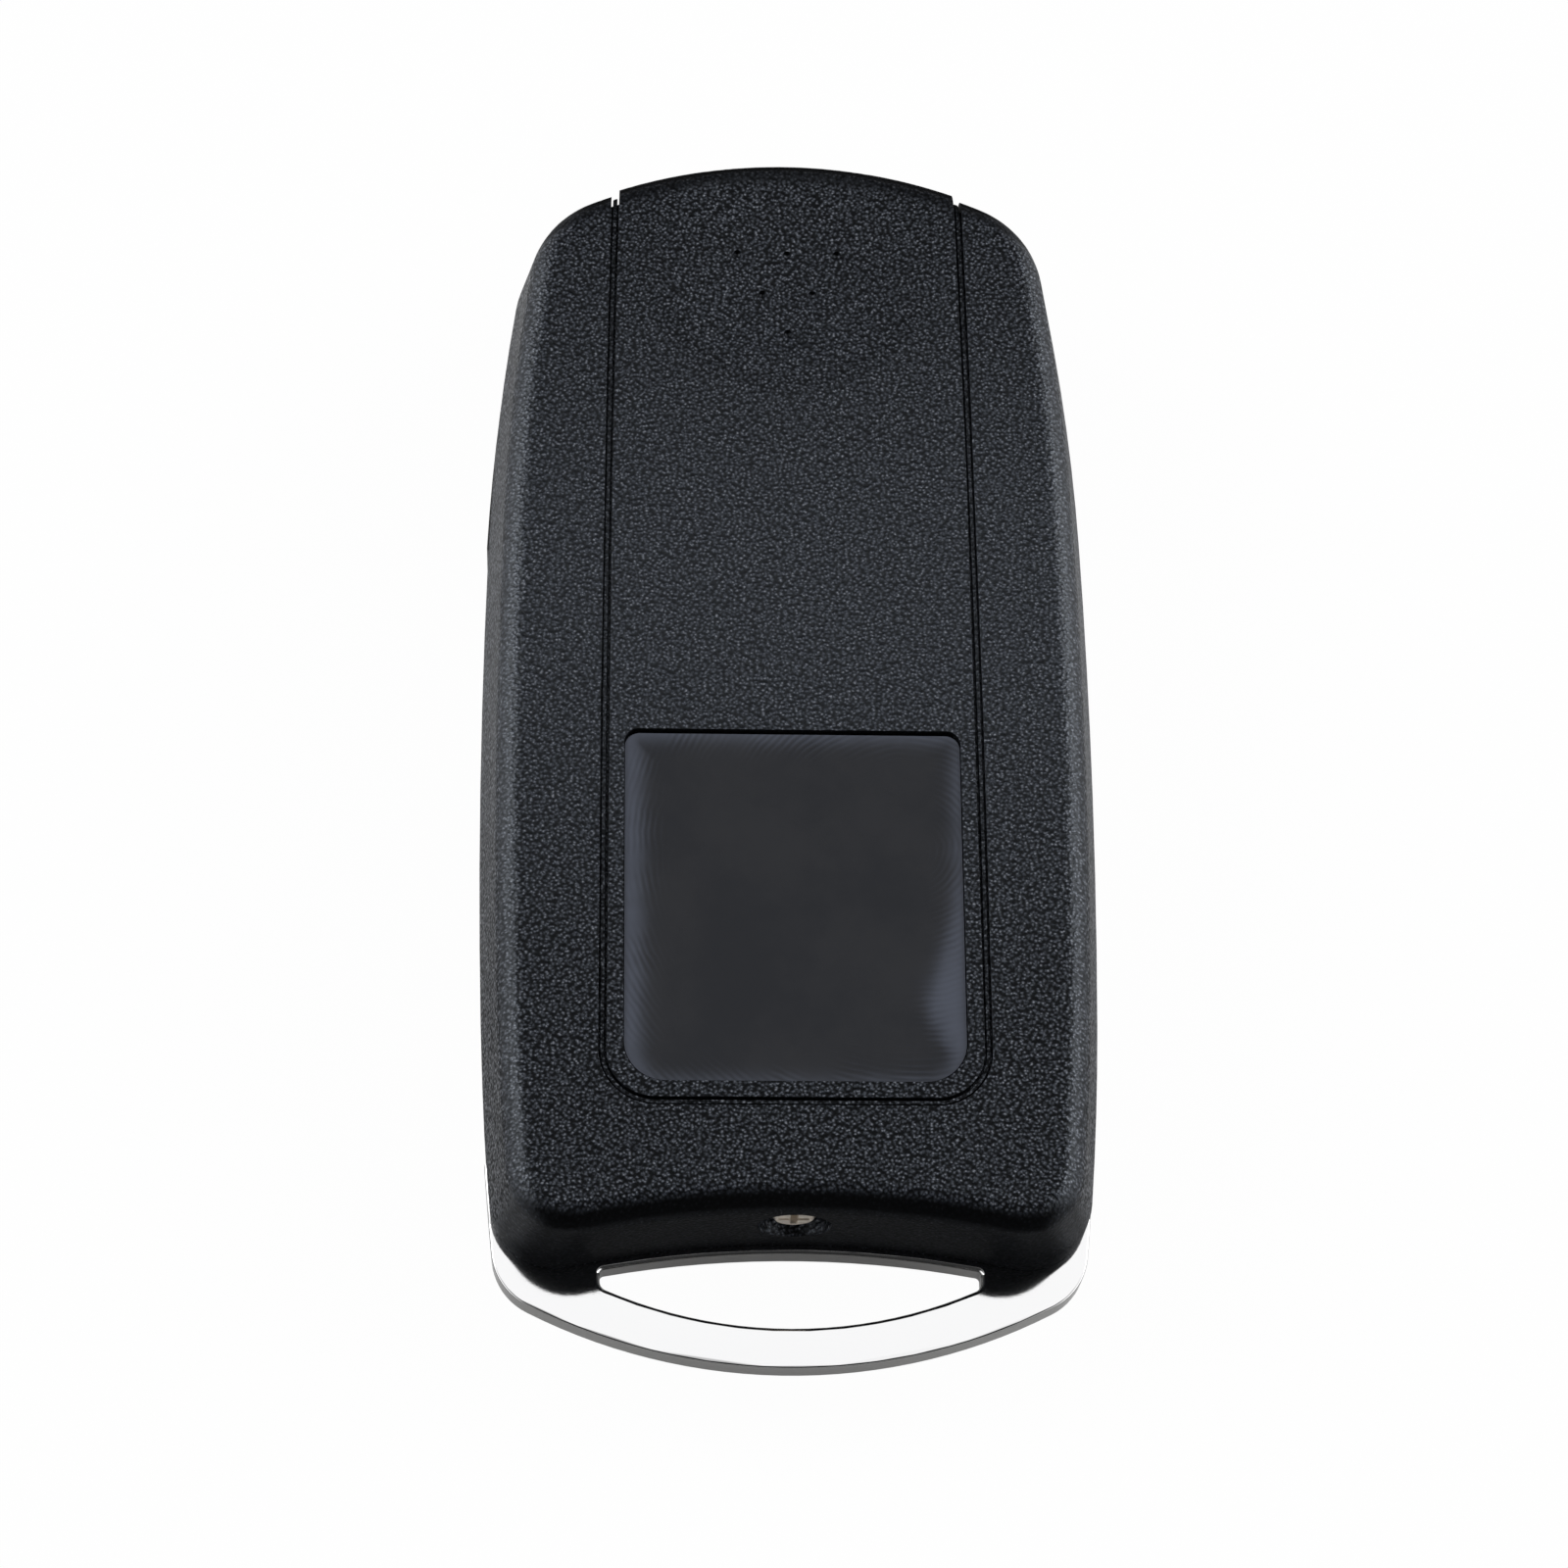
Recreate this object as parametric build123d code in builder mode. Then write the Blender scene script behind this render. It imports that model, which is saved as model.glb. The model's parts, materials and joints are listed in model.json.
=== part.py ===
import os
from math import copysign, radians, sqrt, tan

from build123d import *

os.makedirs("parts", exist_ok=True)

# Flip remote key lying on its button face. X runs across, Y away from the key ring,
# Z up through the rear face. Millimetres.

# Body outline at the widest level
half_width = 19.25
body_length = 71.2
ring_reach = 7.7
total_length = body_length + ring_reach
top_y = total_length / 2
end_y = top_y - body_length
widest_y = top_y - 42.4
shoulder_y = top_y - 24.9
shoulder_taper = 0.3
hip_y = end_y + 13.3
hip_taper = 0.25
top_taper = 2.35
foot_taper = 1.45
top_radius = 31.5
top_corner_radius = 6.6
end_radius = 62.0
foot_radius = 4.0
tongue_proud = 0.3
crown_y = top_y - tongue_proud
near = 0.01

# Levels, from the button face up to the rear face
thickness = 15.2
parting_z = 6.0
blade_z = 6.5
floor_thick = 1.4
roof_thick = 1.8
roof_z = thickness - roof_thick
wall = 1.6
end_wall = 2.8
rear_draft = tan(radians(11))
top_draft = tan(radians(5))
front_draft = tan(radians(12))
front_end_draft = tan(radians(20))
rear_edge_radius = 1.8
front_edge_radius = 1.5
part_gap = 0.1
rib_thick = 1.0
rib_pitch = 8.5

# Folding blade and its head
blade_width = 8.0
blade_thick = 2.4
blade_inset = 1.1
blade_gap = 0.3
blade_groove_width = 2.6
blade_groove_depth = 0.65
blade_tip_taper = 2.6
blade_edge = 0.3
tang_depth = 6.0
tang_gap = 0.03
tip_room = 5.4
arm_wall = 1.0
arm_drop = 14.1
arm_proud = 0.15
head_thick = 4.2
head_gap = 0.2
head_radius = 9.45
head_edge = 0.4
barrel_radius = 6.2
barrel_wall = 1.1
barrel_roof = 1.2
barrel_room = 0.4
bearing_wall = 1.5
running_gap = 0.06
pin_radius = 0.8
pin_wall = 0.3
pin_gap = 0.02
pivot_inset = 10.9
pivot_drop = 11.85
arm_start_rise = 0.7
arm_bend_drop = 7.0
arm_bend_out = 0.2
pivot_x = pivot_inset - half_width
pivot_y = top_y - pivot_drop
blade_outer_x = blade_inset - half_width
blade_inner_x = blade_outer_x + blade_width
blade_mid_x = (blade_outer_x + blade_inner_x) / 2
blade_tip_y = end_y + tip_room
blade_low = blade_z - blade_thick / 2
blade_high = blade_z + blade_thick / 2
arm_inner_x = blade_inner_x + arm_wall
arm_end_y = pivot_y - arm_drop
turned_x = 2 * pivot_x - blade_outer_x + arm_wall + 2 * head_gap
head_low = blade_z - head_thick / 2
head_high = blade_z + head_thick / 2
mouth_low = head_low - head_gap
mouth_high = head_high + head_gap
slot_low = blade_low - blade_gap
slot_high = blade_high + blade_gap
barrel_low = floor_thick + part_gap
barrel_high = roof_z - barrel_room
barrel_bore = barrel_radius - barrel_wall
bearing_radius = barrel_radius + running_gap + bearing_wall

# Release button and its spring, inside the barrel of the head
face_recess = 0.25
release_radius = 4.2
release_gap = 0.15
release_slide_gap = 0.1
release_flange = 1.1
release_boss_radius = 3.2
release_boss = 1.2
release_edge = 0.5
spring_wire_radius = 0.4
spring_turns = 4.0
spring_gap = 0.05

# Key ring frame, clamped between the shells
ring_thick = 1.9
ring_radius = 35.0
ring_corner_radius = 4.0
ring_proud = 0.12
ring_depth = 5.0
ring_tab = 2.4
ring_seat = 0.05
ring_edge = 0.25
ring_outer_edge = 0.12
lens_half = 11.6
lens_lip = 0.55
lens_bar = 2.5
lens_radius = 28.0
lens_upper_radius = 63.0
lens_lower_corner = 0.6
lens_upper_corner = 0.3
ring_low = parting_z - ring_thick / 2
ring_high = parting_z + ring_thick / 2
ring_inner_y = end_y + ring_depth

# End screw and the post that it goes into
screw_z = 11.0
screw_well_radius = 2.25
screw_head_radius = 1.4
screw_head_thick = 1.1
screw_sunk = 0.4
screw_shank_radius = 0.85
screw_gap = 0.05
screw_length = 6.2
cross_width = 0.45
cross_length = 1.9
cross_depth = 0.55
post_width = 4.8
post_depth = 4.0
post_gap = 0.1
post_cap = 2.2
screw_y = end_y + screw_sunk
screw_seat_y = screw_y + screw_head_thick
post_y = end_y + end_wall + post_gap

# Moulded features of the rear face
groove_width = 0.5
groove_depth = 0.65
groove_half = 11.62
groove_narrowing = 0.85
groove_foot = 6.5
groove_straight = 20.0
groove_foot_radius = 3.2
plate_half = 10.38
plate_height = 22.75
plate_foot = 7.75
plate_top_radius = 0.9
plate_foot_radius = 2.5
plate_thick = 0.6
plate_sunk = 0.17
plate_gap = 0.06
plate_floor_z = thickness - plate_sunk - plate_thick
dish_drop = 8.15
dish_radius = 8.6
dish_depth = 0.45
dimple_rise = 0.77
dimple_radius = 0.28
dimple_pitch = 3.2
dimple_row = 2.88

# Keys on the button face
key_names = ["lock_button", "unlock_button", "trunk_button"]
keys_drop = 24.4
keys_foot_room = 14.3
cap_corner = 2.6
cap_spacing = 2.0
cap_gap = 0.15
cap_lip = 0.7
cap_lip_thick = 0.5
cap_edge = 0.3
panel_margin = 1.6
panel_depth = 0.15
keys_top = top_y - keys_drop
keys_span = keys_top - end_y - keys_foot_room
cap_height = (keys_span + cap_spacing) / len(key_names) - cap_spacing
cap_pitch = cap_height + cap_spacing
key_y = [keys_top - cap_height / 2 - row * cap_pitch for row in range(len(key_names))]
cap_inner_z = barrel_low + cap_lip_thick

# Board, key pad and switches
board_low = 3.75
board_thick = 0.8
board_corner = 1.2
board_side_gap = 0.4
board_wall_room = 3.1
board_end_room = 9.2
board_head_room = 1.35
divider_thick = 1.0
divider_gap = 0.2
divider_side_gap = 0.4
divider_top = slot_high + divider_gap
divider_x = arm_inner_x + divider_side_gap
board_left = divider_x + divider_thick + board_side_gap
board_right = half_width - board_wall_room
board_foot = end_y + board_end_room
board_top = keys_top + board_head_room
board_high = board_low + board_thick
ledge_width = 0.6
stud_radius = 1.2
stud_inset = 2.1
stud_foot_room = 4.8
stud_mid_room = 17.0
stud_head_room = 2.5
stud_x = board_right - stud_inset
stud_y = [board_foot + stud_foot_room, board_top - stud_mid_room, board_top - stud_head_room]
lip_thick = 0.8
lip_high = 1.2
lip_end_room = 4.0
pad_thick = 0.4
pad_gap = 0.5
pad_rim = 0.8
pad_margin = 0.3
pad_side_gap = 0.15
pad_stud_gap = 0.85
dome_radius = 2.4
dome_tip_radius = 1.5
switch_size = 4.4
switch_thick = 0.6
switch_corner = 0.4
plunger_radius = 1.1
plunger_high = 0.2
switch_low = board_low - switch_thick
pad_low = cap_inner_z + pad_gap
pad_left = divider_x + divider_thick + ledge_width + pad_side_gap
pad_right = stud_x - stud_radius - pad_stud_gap
pad_half_x = (pad_right - pad_left) / 2
cap_x = (pad_left + pad_right) / 2
cap_width = 2 * (pad_half_x - pad_margin - cap_lip)
pad_half_y = cap_height / 2 + cap_lip + pad_margin

# Battery on the board, with its clip and contact
cell_thick = 3.2
cell_step = 1.2
cell_end_gap = 3.15
contact_thick = 0.3
contact_width = 4.0
contact_length = 12.0
clip_width = 5.0
clip_gap = 0.15
clip_foot = 1.2
clip_side_gap = 0.1
clip_room = clip_gap + contact_thick + clip_foot + clip_side_gap
cell_radius = (board_right - board_left) / 2 - clip_room
cell_x = (board_left + board_right) / 2
cell_y = post_y + post_depth + ring_tab + cell_end_gap + cell_radius
cell_low = board_high + contact_thick
cell_high = cell_low + cell_thick

# Chips, antenna and indicator
antenna_radius = 0.35
antenna_inset = 1.2
antenna_side_room = 2.35
antenna_stud_gap = 2.85
antenna_rise = 1.6
antenna_y = board_top - antenna_inset
antenna_left = board_left + antenna_side_room
antenna_right = stud_x - stud_radius - antenna_stud_gap
crystal_length = 3.2
crystal_width = 2.5
crystal_thick = 0.8
crystal_corner = 0.5
crystal_side_room = 3.4
crystal_head_room = 4.0
crystal_gap = 0.15
crystal_x = board_left + crystal_side_room
crystal_y = board_top - crystal_head_room
chip_size = 6.0
chip_thick = 0.9
chip_corner = 0.3
chip_lead = 0.35
chip_leads = 5
chip_span = chip_size + 4 * chip_lead
chip_x = crystal_x + crystal_length / 2 + crystal_gap + chip_span / 2
chip_y = (cell_y + cell_radius + antenna_y) / 2
small_length = 1.6
small_width = 0.8
small_thick = 0.5
small_step_x = 2.8
small_step_y = 2.2
small_gap = 2.3
small_x = chip_x + chip_span / 2 + small_gap + small_step_x / 2 + small_length / 2
transponder_width = 6.0
transponder_thick = 3.0
transponder_drop = 2.5
transponder_side_gap = 0.5
transponder_wall_room = 4.4
pocket_x = turned_x + rib_thick + transponder_side_gap
pocket_y = pivot_y - transponder_width / 2 - transponder_drop
transponder_length = half_width - transponder_wall_room - pocket_x
led_drop = 2.0
led_length = 1.6
led_width = 1.0
led_corner = 0.2
led_pipe_radius = 0.8
led_y = key_y[0] - led_drop


def arc_drop(radius, x):
    """Fall of an arc from its crown at the distance x; a negative radius rises."""
    return radius - copysign(sqrt(radius**2 - x**2), radius)


def body_outline(level, side_in=0.0, top_in=0.0, end_in=0.0, end=None):
    """Outline of the body at a level, each side moved in on its own."""
    end_mid, end_curve, end_corner = end or (end_y + end_in, end_radius, foot_radius)
    corner_x = half_width - top_taper - side_in
    corner_y = crown_y - top_in - arc_drop(top_radius, corner_x)
    foot_x = half_width - foot_taper - side_in
    foot_y = end_mid - arc_drop(end_curve, foot_x)
    widest = (half_width - side_in, widest_y)
    shoulder = (half_width - shoulder_taper - side_in, shoulder_y)
    hip = (half_width - hip_taper - side_in, hip_y)
    with BuildSketch(Plane.XY.offset(level)) as outline:
        with BuildLine():
            upper = TangentArc(widest, shoulder, tangent=(0, 1))
            corner = TangentArc(shoulder, (corner_x, corner_y), tangent=upper % 1)
            lower = TangentArc(widest, hip, tangent=(0, -1))
            foot = TangentArc(hip, (foot_x, foot_y), tangent=lower % 1)
            mirror([upper, corner, lower, foot], about=Plane.YZ)
            ThreePointArc((-corner_x, corner_y), (0, crown_y - top_in), (corner_x, corner_y))
            ThreePointArc((-foot_x, foot_y), (0, end_mid), (foot_x, foot_y))
        make_face()
        crown = outline.vertices().filter_by_position(Axis.Y, corner_y - near, corner_y + near)
        fillet(crown, top_corner_radius)
        feet = outline.vertices().filter_by_position(Axis.Y, foot_y - near, foot_y + near)
        fillet(feet, end_corner)
    return outline.sketch


def rear_block(inset=0.0, top_extra=0.0):
    """Outer form of the rear half, moved in by inset."""
    rise = thickness - inset - mouth_high
    top_in = inset - top_extra
    extrude(body_outline(parting_z, inset, top_in, inset), mouth_high - parting_z)
    widest = body_outline(mouth_high, inset, top_in, inset)
    top_in += rise * top_draft
    face = body_outline(thickness - inset, inset + rise * rear_draft, top_in, inset)
    loft([widest, face], ruled=True)


def tongue_outline(level, widen):
    """Centre panel of the rear face, wider by widen than the middle of its groove."""
    foot_y = end_y + groove_foot - widen
    half = groove_half + widen
    above = top_y + ring_reach
    crown = (half - groove_narrowing, above)
    with BuildSketch(Plane.XY.offset(level)) as outline:
        with BuildLine():
            side = TangentArc((half, end_y + groove_straight), crown, tangent=(0, 1))
            heel = Line((half, foot_y), (half, end_y + groove_straight))
            mirror([side, heel], about=Plane.YZ)
            Line(crown, (-crown[0], above))
            Line((-half, foot_y), (half, foot_y))
        make_face()
        feet = outline.vertices().filter_by_position(Axis.Y, foot_y - near, foot_y + near)
        fillet(feet, groove_foot_radius + widen)
    return outline.sketch


def plate_outline(level, gap=0.0):
    """Outline of the inlay plate, or of its recess with no gap."""
    foot_y = end_y + plate_foot + gap
    head_y = end_y + plate_foot + plate_height - gap
    with BuildSketch(Plane.XY.offset(level)) as outline:
        with Locations((0, (foot_y + head_y) / 2)):
            Rectangle(2 * (plate_half - gap), head_y - foot_y)
        fillet(outline.vertices().group_by(Axis.Y)[-1], plate_top_radius)
        fillet(outline.vertices().sort_by(Axis.Y)[:2], plate_foot_radius)
    return outline.sketch


def ring_outline(level, grow=0.0):
    """Outline of the key ring frame without its lens, up to its inner edge."""
    end = (-total_length / 2 - grow, -ring_radius, ring_corner_radius)
    tab_half = post_width / 2 + ring_tab + grow
    tab_top = post_y + post_depth + ring_tab + grow
    with BuildSketch(Plane.XY.offset(level)) as outline:
        add(body_outline(0, -ring_proud - grow, end=end))
        with Locations((0, ring_inner_y + grow - total_length)):
            Rectangle(4 * half_width, 2 * total_length, mode=Mode.INTERSECT)
        with Locations((0, (ring_inner_y - ring_depth / 2 + tab_top) / 2)):
            Rectangle(2 * tab_half, tab_top - ring_inner_y + ring_depth / 2)
    return outline.sketch


def slab(x_pair, y_pair, z_pair, mode=Mode.ADD):
    """Rib, wall or cut between two values on each axis."""
    size = [pair[1] - pair[0] for pair in (x_pair, y_pair, z_pair)]
    with Locations((x_pair[0], y_pair[0], z_pair[0])):
        Box(*size, align=Align.MIN, mode=mode)


def rod(x, y, z_pair, radius, mode=Mode.ADD):
    """Upright round between two levels."""
    with Locations((x, y, z_pair[0])):
        Cylinder(
            radius,
            z_pair[1] - z_pair[0],
            align=(Align.CENTER, Align.CENTER, Align.MIN),
            mode=mode,
        )


def pill(x, y, size, corner, z_pair, mode=Mode.ADD):
    """Rounded rectangle between two levels."""
    with BuildSketch(Plane.XY.offset(z_pair[0])) as outline:
        with Locations((x, y)):
            RectangleRounded(size[0], size[1], corner)
    extrude(outline.sketch, z_pair[1] - z_pair[0], mode=mode)


def end_plane(y):
    """Plane across the end screw's axis, facing into the body."""
    return Plane(origin=(0, y, screw_z), x_dir=(1, 0, 0), z_dir=(0, 1, 0))


def end_round(y_pair, radius, mode=Mode.ADD):
    """Round on the end screw's axis."""
    with BuildSketch(end_plane(y_pair[0])) as outline:
        Circle(radius)
    extrude(outline.sketch, y_pair[1] - y_pair[0], mode=mode)


def open_mouth(z_pair):
    """Space in the left side and the top end that the head and the blade turn through."""
    outside = -2 * half_width
    slab((outside, turned_x), (pivot_y, 2 * top_y), z_pair, Mode.SUBTRACT)
    slab((outside, divider_x), (arm_end_y - head_gap, pivot_y), z_pair, Mode.SUBTRACT)
    rod(pivot_x, pivot_y, z_pair, head_radius + head_gap, Mode.SUBTRACT)


def mouth_wall(z_pair):
    """Wall that closes the mouth off from the inside of a shell."""
    swept = head_radius + head_gap
    straight_end = crown_y - wall / 2
    with BuildSketch(Plane.XY.offset(z_pair[0])) as outline:
        with Locations((pivot_x, pivot_y)):
            Circle(swept + rib_thick)
            Circle(swept, mode=Mode.SUBTRACT)
        with Locations((divider_x, pivot_y)):
            Rectangle(top_y, top_y, align=(Align.MIN, Align.MAX), mode=Mode.INTERSECT)
        with Locations((pivot_x + swept, pivot_y)):
            Rectangle(turned_x + rib_thick - pivot_x - swept, rib_thick, align=Align.MIN)
        with Locations((turned_x, pivot_y)):
            Rectangle(rib_thick, straight_end - pivot_y, align=Align.MIN)
    extrude(outline.sketch, z_pair[1] - z_pair[0])


def open_slot(z_pair):
    """Space in the left side that the folded blade lies in."""
    y_pair = (blade_tip_y - blade_gap, arm_end_y)
    slab((-2 * half_width, divider_x), y_pair, z_pair, Mode.SUBTRACT)


def open_ring(z_pair):
    """Space in the end of a shell that the key ring frame is clamped in."""
    y_pair = (-total_length, ring_inner_y + part_gap)
    slab((-2 * half_width, 2 * half_width), y_pair, z_pair, Mode.SUBTRACT)


rib_span = arm_end_y - blade_tip_y
rib_y = [blade_tip_y + rib_pitch * (row + 0.5) for row in range(int(rib_span // rib_pitch))]

# Rear shell with its moulded groove, thumb dish, plate recess and screw well
with BuildPart() as groove_bed:
    rear_block(groove_depth)
    fillet(groove_bed.faces().sort_by(Axis.Z)[-1].edges(), rear_edge_radius - groove_depth)

with BuildPart() as groove:
    extrude(tongue_outline(parting_z, groove_width / 2), thickness)
    extrude(tongue_outline(parting_z, -groove_width / 2), thickness, mode=Mode.SUBTRACT)
    add(groove_bed.part, mode=Mode.SUBTRACT)

with BuildPart() as tongue:
    rear_block(0, tongue_proud)
    fillet(tongue.faces().sort_by(Axis.Z)[-1].edges(), rear_edge_radius)
    extrude(tongue_outline(parting_z, 0), thickness, mode=Mode.INTERSECT)

with BuildPart() as rear_shell:
    rear_block()
    fillet(rear_shell.faces().sort_by(Axis.Z)[-1].edges(), rear_edge_radius)
    add(tongue.part)
    inner_rise = roof_z - mouth_high
    hollow_low = body_outline(mouth_high, wall, wall, end_wall)
    hollow_high = body_outline(
        roof_z, wall + inner_rise * rear_draft, wall + inner_rise * top_draft, end_wall
    )
    hollow_foot = body_outline(parting_z, wall, wall, end_wall)
    extrude(hollow_foot, mouth_high - parting_z, mode=Mode.SUBTRACT)
    loft([hollow_low, hollow_high], ruled=True, mode=Mode.SUBTRACT)
    add(groove.part, mode=Mode.SUBTRACT)
    rod(pivot_x, pivot_y, (mouth_high, roof_z), bearing_radius)
    rod(pivot_x, pivot_y, (mouth_high, roof_z), barrel_radius + running_gap, Mode.SUBTRACT)
    slab(
        (divider_x, divider_x + divider_thick),
        (end_y + end_wall, arm_end_y),
        (divider_top + divider_gap, roof_z),
    )
    for y in rib_y:
        slab(
            (-half_width + wall, divider_x + divider_thick),
            (y, y + rib_thick),
            (slot_high + divider_gap, roof_z),
        )
    for y in (stud_y[0], stud_y[2]):
        rod(stud_x, y, (board_high + part_gap, roof_z), stud_radius)
    slab(
        (cell_x - cell_radius / 2, cell_x + cell_radius / 2),
        (cell_y - rib_thick / 2, cell_y + rib_thick / 2),
        (cell_high + contact_thick + clip_gap, roof_z),
    )
    pocket_low = roof_z - transponder_thick
    for y in (pocket_y - rib_thick - part_gap, pocket_y + transponder_width + part_gap):
        slab((pocket_x, pocket_x + transponder_length), (y, y + rib_thick), (pocket_low, roof_z))
    mouth_wall((parting_z, roof_z))
    open_mouth((parting_z - part_gap, mouth_high))
    open_slot((parting_z - part_gap, slot_high))
    open_ring((parting_z - part_gap, ring_high + ring_seat))
    extrude(plate_outline(plate_floor_z), thickness, mode=Mode.SUBTRACT)
    dish_curve = (dish_radius**2 + dish_depth**2) / (2 * dish_depth)
    dish_y = top_y - dish_drop
    with Locations((0, dish_y, thickness - dish_depth + dish_curve)):
        Sphere(dish_curve, mode=Mode.SUBTRACT)
    for row in range(3):
        for place in range(3 - row):
            x = (place - (2 - row) / 2) * dimple_pitch
            y = dish_y + dimple_rise - row * dimple_row
            bed_z = thickness - dish_depth + arc_drop(dish_curve, sqrt(x**2 + (y - dish_y) ** 2))
            with Locations((x, y, bed_z)):
                Sphere(dimple_radius, mode=Mode.SUBTRACT)
    end_round((end_y - 1, screw_seat_y), screw_well_radius, Mode.SUBTRACT)
    end_round((screw_seat_y, post_y), screw_shank_radius + screw_gap, Mode.SUBTRACT)
rear_shell.part.label = "rear_shell"
export_step(rear_shell.part, "parts/rear_shell.step")

# Bare inlay plate in its recess
with BuildPart() as rear_inlay:
    extrude(plate_outline(plate_floor_z, plate_gap), plate_thick)
    chamfer(rear_inlay.faces().sort_by(Axis.Z)[-1].edges(), plate_gap)
rear_inlay.part.label = "rear_inlay"
export_step(rear_inlay.part, "parts/rear_inlay.step")

# Front shell with key windows, screw post, divider, ledges and locating lip
with BuildPart() as front_shell:
    face_in = mouth_low * front_draft
    extrude(body_outline(mouth_low), parting_z - mouth_low)
    face_end_in = mouth_low * front_end_draft
    loft([body_outline(mouth_low), body_outline(0, face_in, face_in, face_end_in)], ruled=True)
    fillet(front_shell.faces().sort_by(Axis.Z)[0].edges(), front_edge_radius)
    floor_in = wall + (mouth_low - floor_thick) * front_draft
    floor_end_in = end_wall + (mouth_low - floor_thick) * front_end_draft
    bay_floor = body_outline(floor_thick, floor_in, floor_in, floor_end_in)
    bay_waist = body_outline(mouth_low, wall, wall, end_wall)
    loft([bay_floor, bay_waist], ruled=True, mode=Mode.SUBTRACT)
    extrude(bay_waist, parting_z - mouth_low, mode=Mode.SUBTRACT)
    with BuildSketch(Plane.XY.offset(mouth_low)) as lip_root:
        add(body_outline(0, wall - part_gap, wall, wall))
        add(body_outline(0, wall + lip_thick, wall + lip_thick, wall), mode=Mode.SUBTRACT)
        with Locations((half_width, (top_y + ring_inner_y + lip_end_room) / 2)):
            Rectangle(half_width, top_y - ring_inner_y, mode=Mode.INTERSECT)
    extrude(lip_root.sketch, parting_z - mouth_low)
    with BuildSketch(Plane.XY.offset(mouth_low)) as lip:
        add(body_outline(0, wall + part_gap, wall + part_gap, wall))
        add(body_outline(0, wall + lip_thick, wall + lip_thick, wall), mode=Mode.SUBTRACT)
        with Locations((half_width, (top_y + ring_inner_y + lip_end_room) / 2)):
            Rectangle(half_width, top_y - ring_inner_y, mode=Mode.INTERSECT)
    extrude(lip.sketch, parting_z + lip_high - mouth_low)
    rod(pivot_x, pivot_y, (floor_thick, mouth_low), bearing_radius)
    rod(pivot_x, pivot_y, (floor_thick, parting_z), barrel_radius + running_gap, Mode.SUBTRACT)
    slab(
        (divider_x, divider_x + divider_thick),
        (end_y + end_wall, arm_end_y),
        (floor_thick, divider_top),
    )
    slab(
        (divider_x, divider_x + divider_thick + ledge_width),
        (board_foot, arm_end_y),
        (floor_thick, board_low),
    )
    for y in rib_y:
        slab((-half_width + wall, divider_x), (y, y + rib_thick), (floor_thick, slot_low))
    for y in stud_y:
        rod(stud_x, y, (floor_thick, board_low), stud_radius)
    slab(
        (-post_width / 2, post_width / 2),
        (post_y, post_y + post_depth),
        (floor_thick, screw_z + post_cap),
    )
    end_round((post_y, post_y + post_depth), screw_shank_radius + screw_gap, Mode.SUBTRACT)
    mouth_wall((floor_thick, parting_z))
    open_mouth((mouth_low, thickness))
    open_slot((slot_low, parting_z))
    open_ring((ring_low - ring_seat, ring_high + ring_seat))
    slab(
        (-post_width / 2, post_width / 2),
        (post_y, post_y + post_depth),
        (ring_low - ring_seat, ring_high + ring_seat),
    )
    panel_height = cap_pitch * (len(key_names) - 1) + cap_height + 2 * panel_margin
    panel_size = (cap_width + 2 * panel_margin, panel_height)
    panel_corner = cap_corner + panel_margin
    pill(cap_x, key_y[1], panel_size, panel_corner, (0, panel_depth), Mode.SUBTRACT)
    window = (cap_width + 2 * cap_gap, cap_height + 2 * cap_gap)
    for y in key_y:
        pill(cap_x, y, window, cap_corner + cap_gap, (0, floor_thick), Mode.SUBTRACT)
    rod(pivot_x, pivot_y, (0, floor_thick), release_radius + release_gap, Mode.SUBTRACT)
    rod(stud_x, led_y, (0, floor_thick), led_pipe_radius + part_gap, Mode.SUBTRACT)
front_shell.part.label = "front_shell"
export_step(front_shell.part, "parts/front_shell.step")

# Bright key ring frame with its lens-shaped opening and the window for the screw post
with BuildPart() as key_ring_frame:
    extrude(ring_outline(ring_low), ring_thick)
    lens_top = end_y - lens_lip
    lens_low = -total_length / 2 + lens_bar
    top_end = (lens_half, lens_top - arc_drop(lens_upper_radius, lens_half))
    low_end = (lens_half, lens_low + arc_drop(lens_radius, lens_half))
    with BuildSketch(Plane.XY.offset(ring_low)) as lens:
        with BuildLine():
            ThreePointArc((-top_end[0], top_end[1]), (0, lens_top), top_end)
            Line(top_end, low_end)
            ThreePointArc(low_end, (0, lens_low), (-low_end[0], low_end[1]))
            Line((-low_end[0], low_end[1]), (-top_end[0], top_end[1]))
        make_face()
        fillet(lens.vertices().sort_by(Axis.Y)[:2], lens_lower_corner)
        fillet(lens.vertices().sort_by(Axis.Y)[-2:], lens_upper_corner)
    extrude(lens.sketch, ring_thick, mode=Mode.SUBTRACT)
    flats = key_ring_frame.faces().filter_by(Axis.Z)
    fillet([edge for flat in flats for edge in flat.inner_wires()[0].edges()], ring_edge)
    flats = key_ring_frame.faces().filter_by(Axis.Z)
    rims = [edge for flat in flats for edge in flat.outer_wire().edges()]
    fillet([edge for edge in rims if edge.center().Y < ring_inner_y - 1], ring_outer_edge)
    slab(
        (-post_width / 2 - part_gap, post_width / 2 + part_gap),
        (post_y - part_gap, post_y + post_depth + part_gap),
        (ring_low, ring_high),
        Mode.SUBTRACT,
    )
key_ring_frame.part.label = "key_ring_frame"
export_step(key_ring_frame.part, "parts/key_ring_frame.step")

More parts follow.
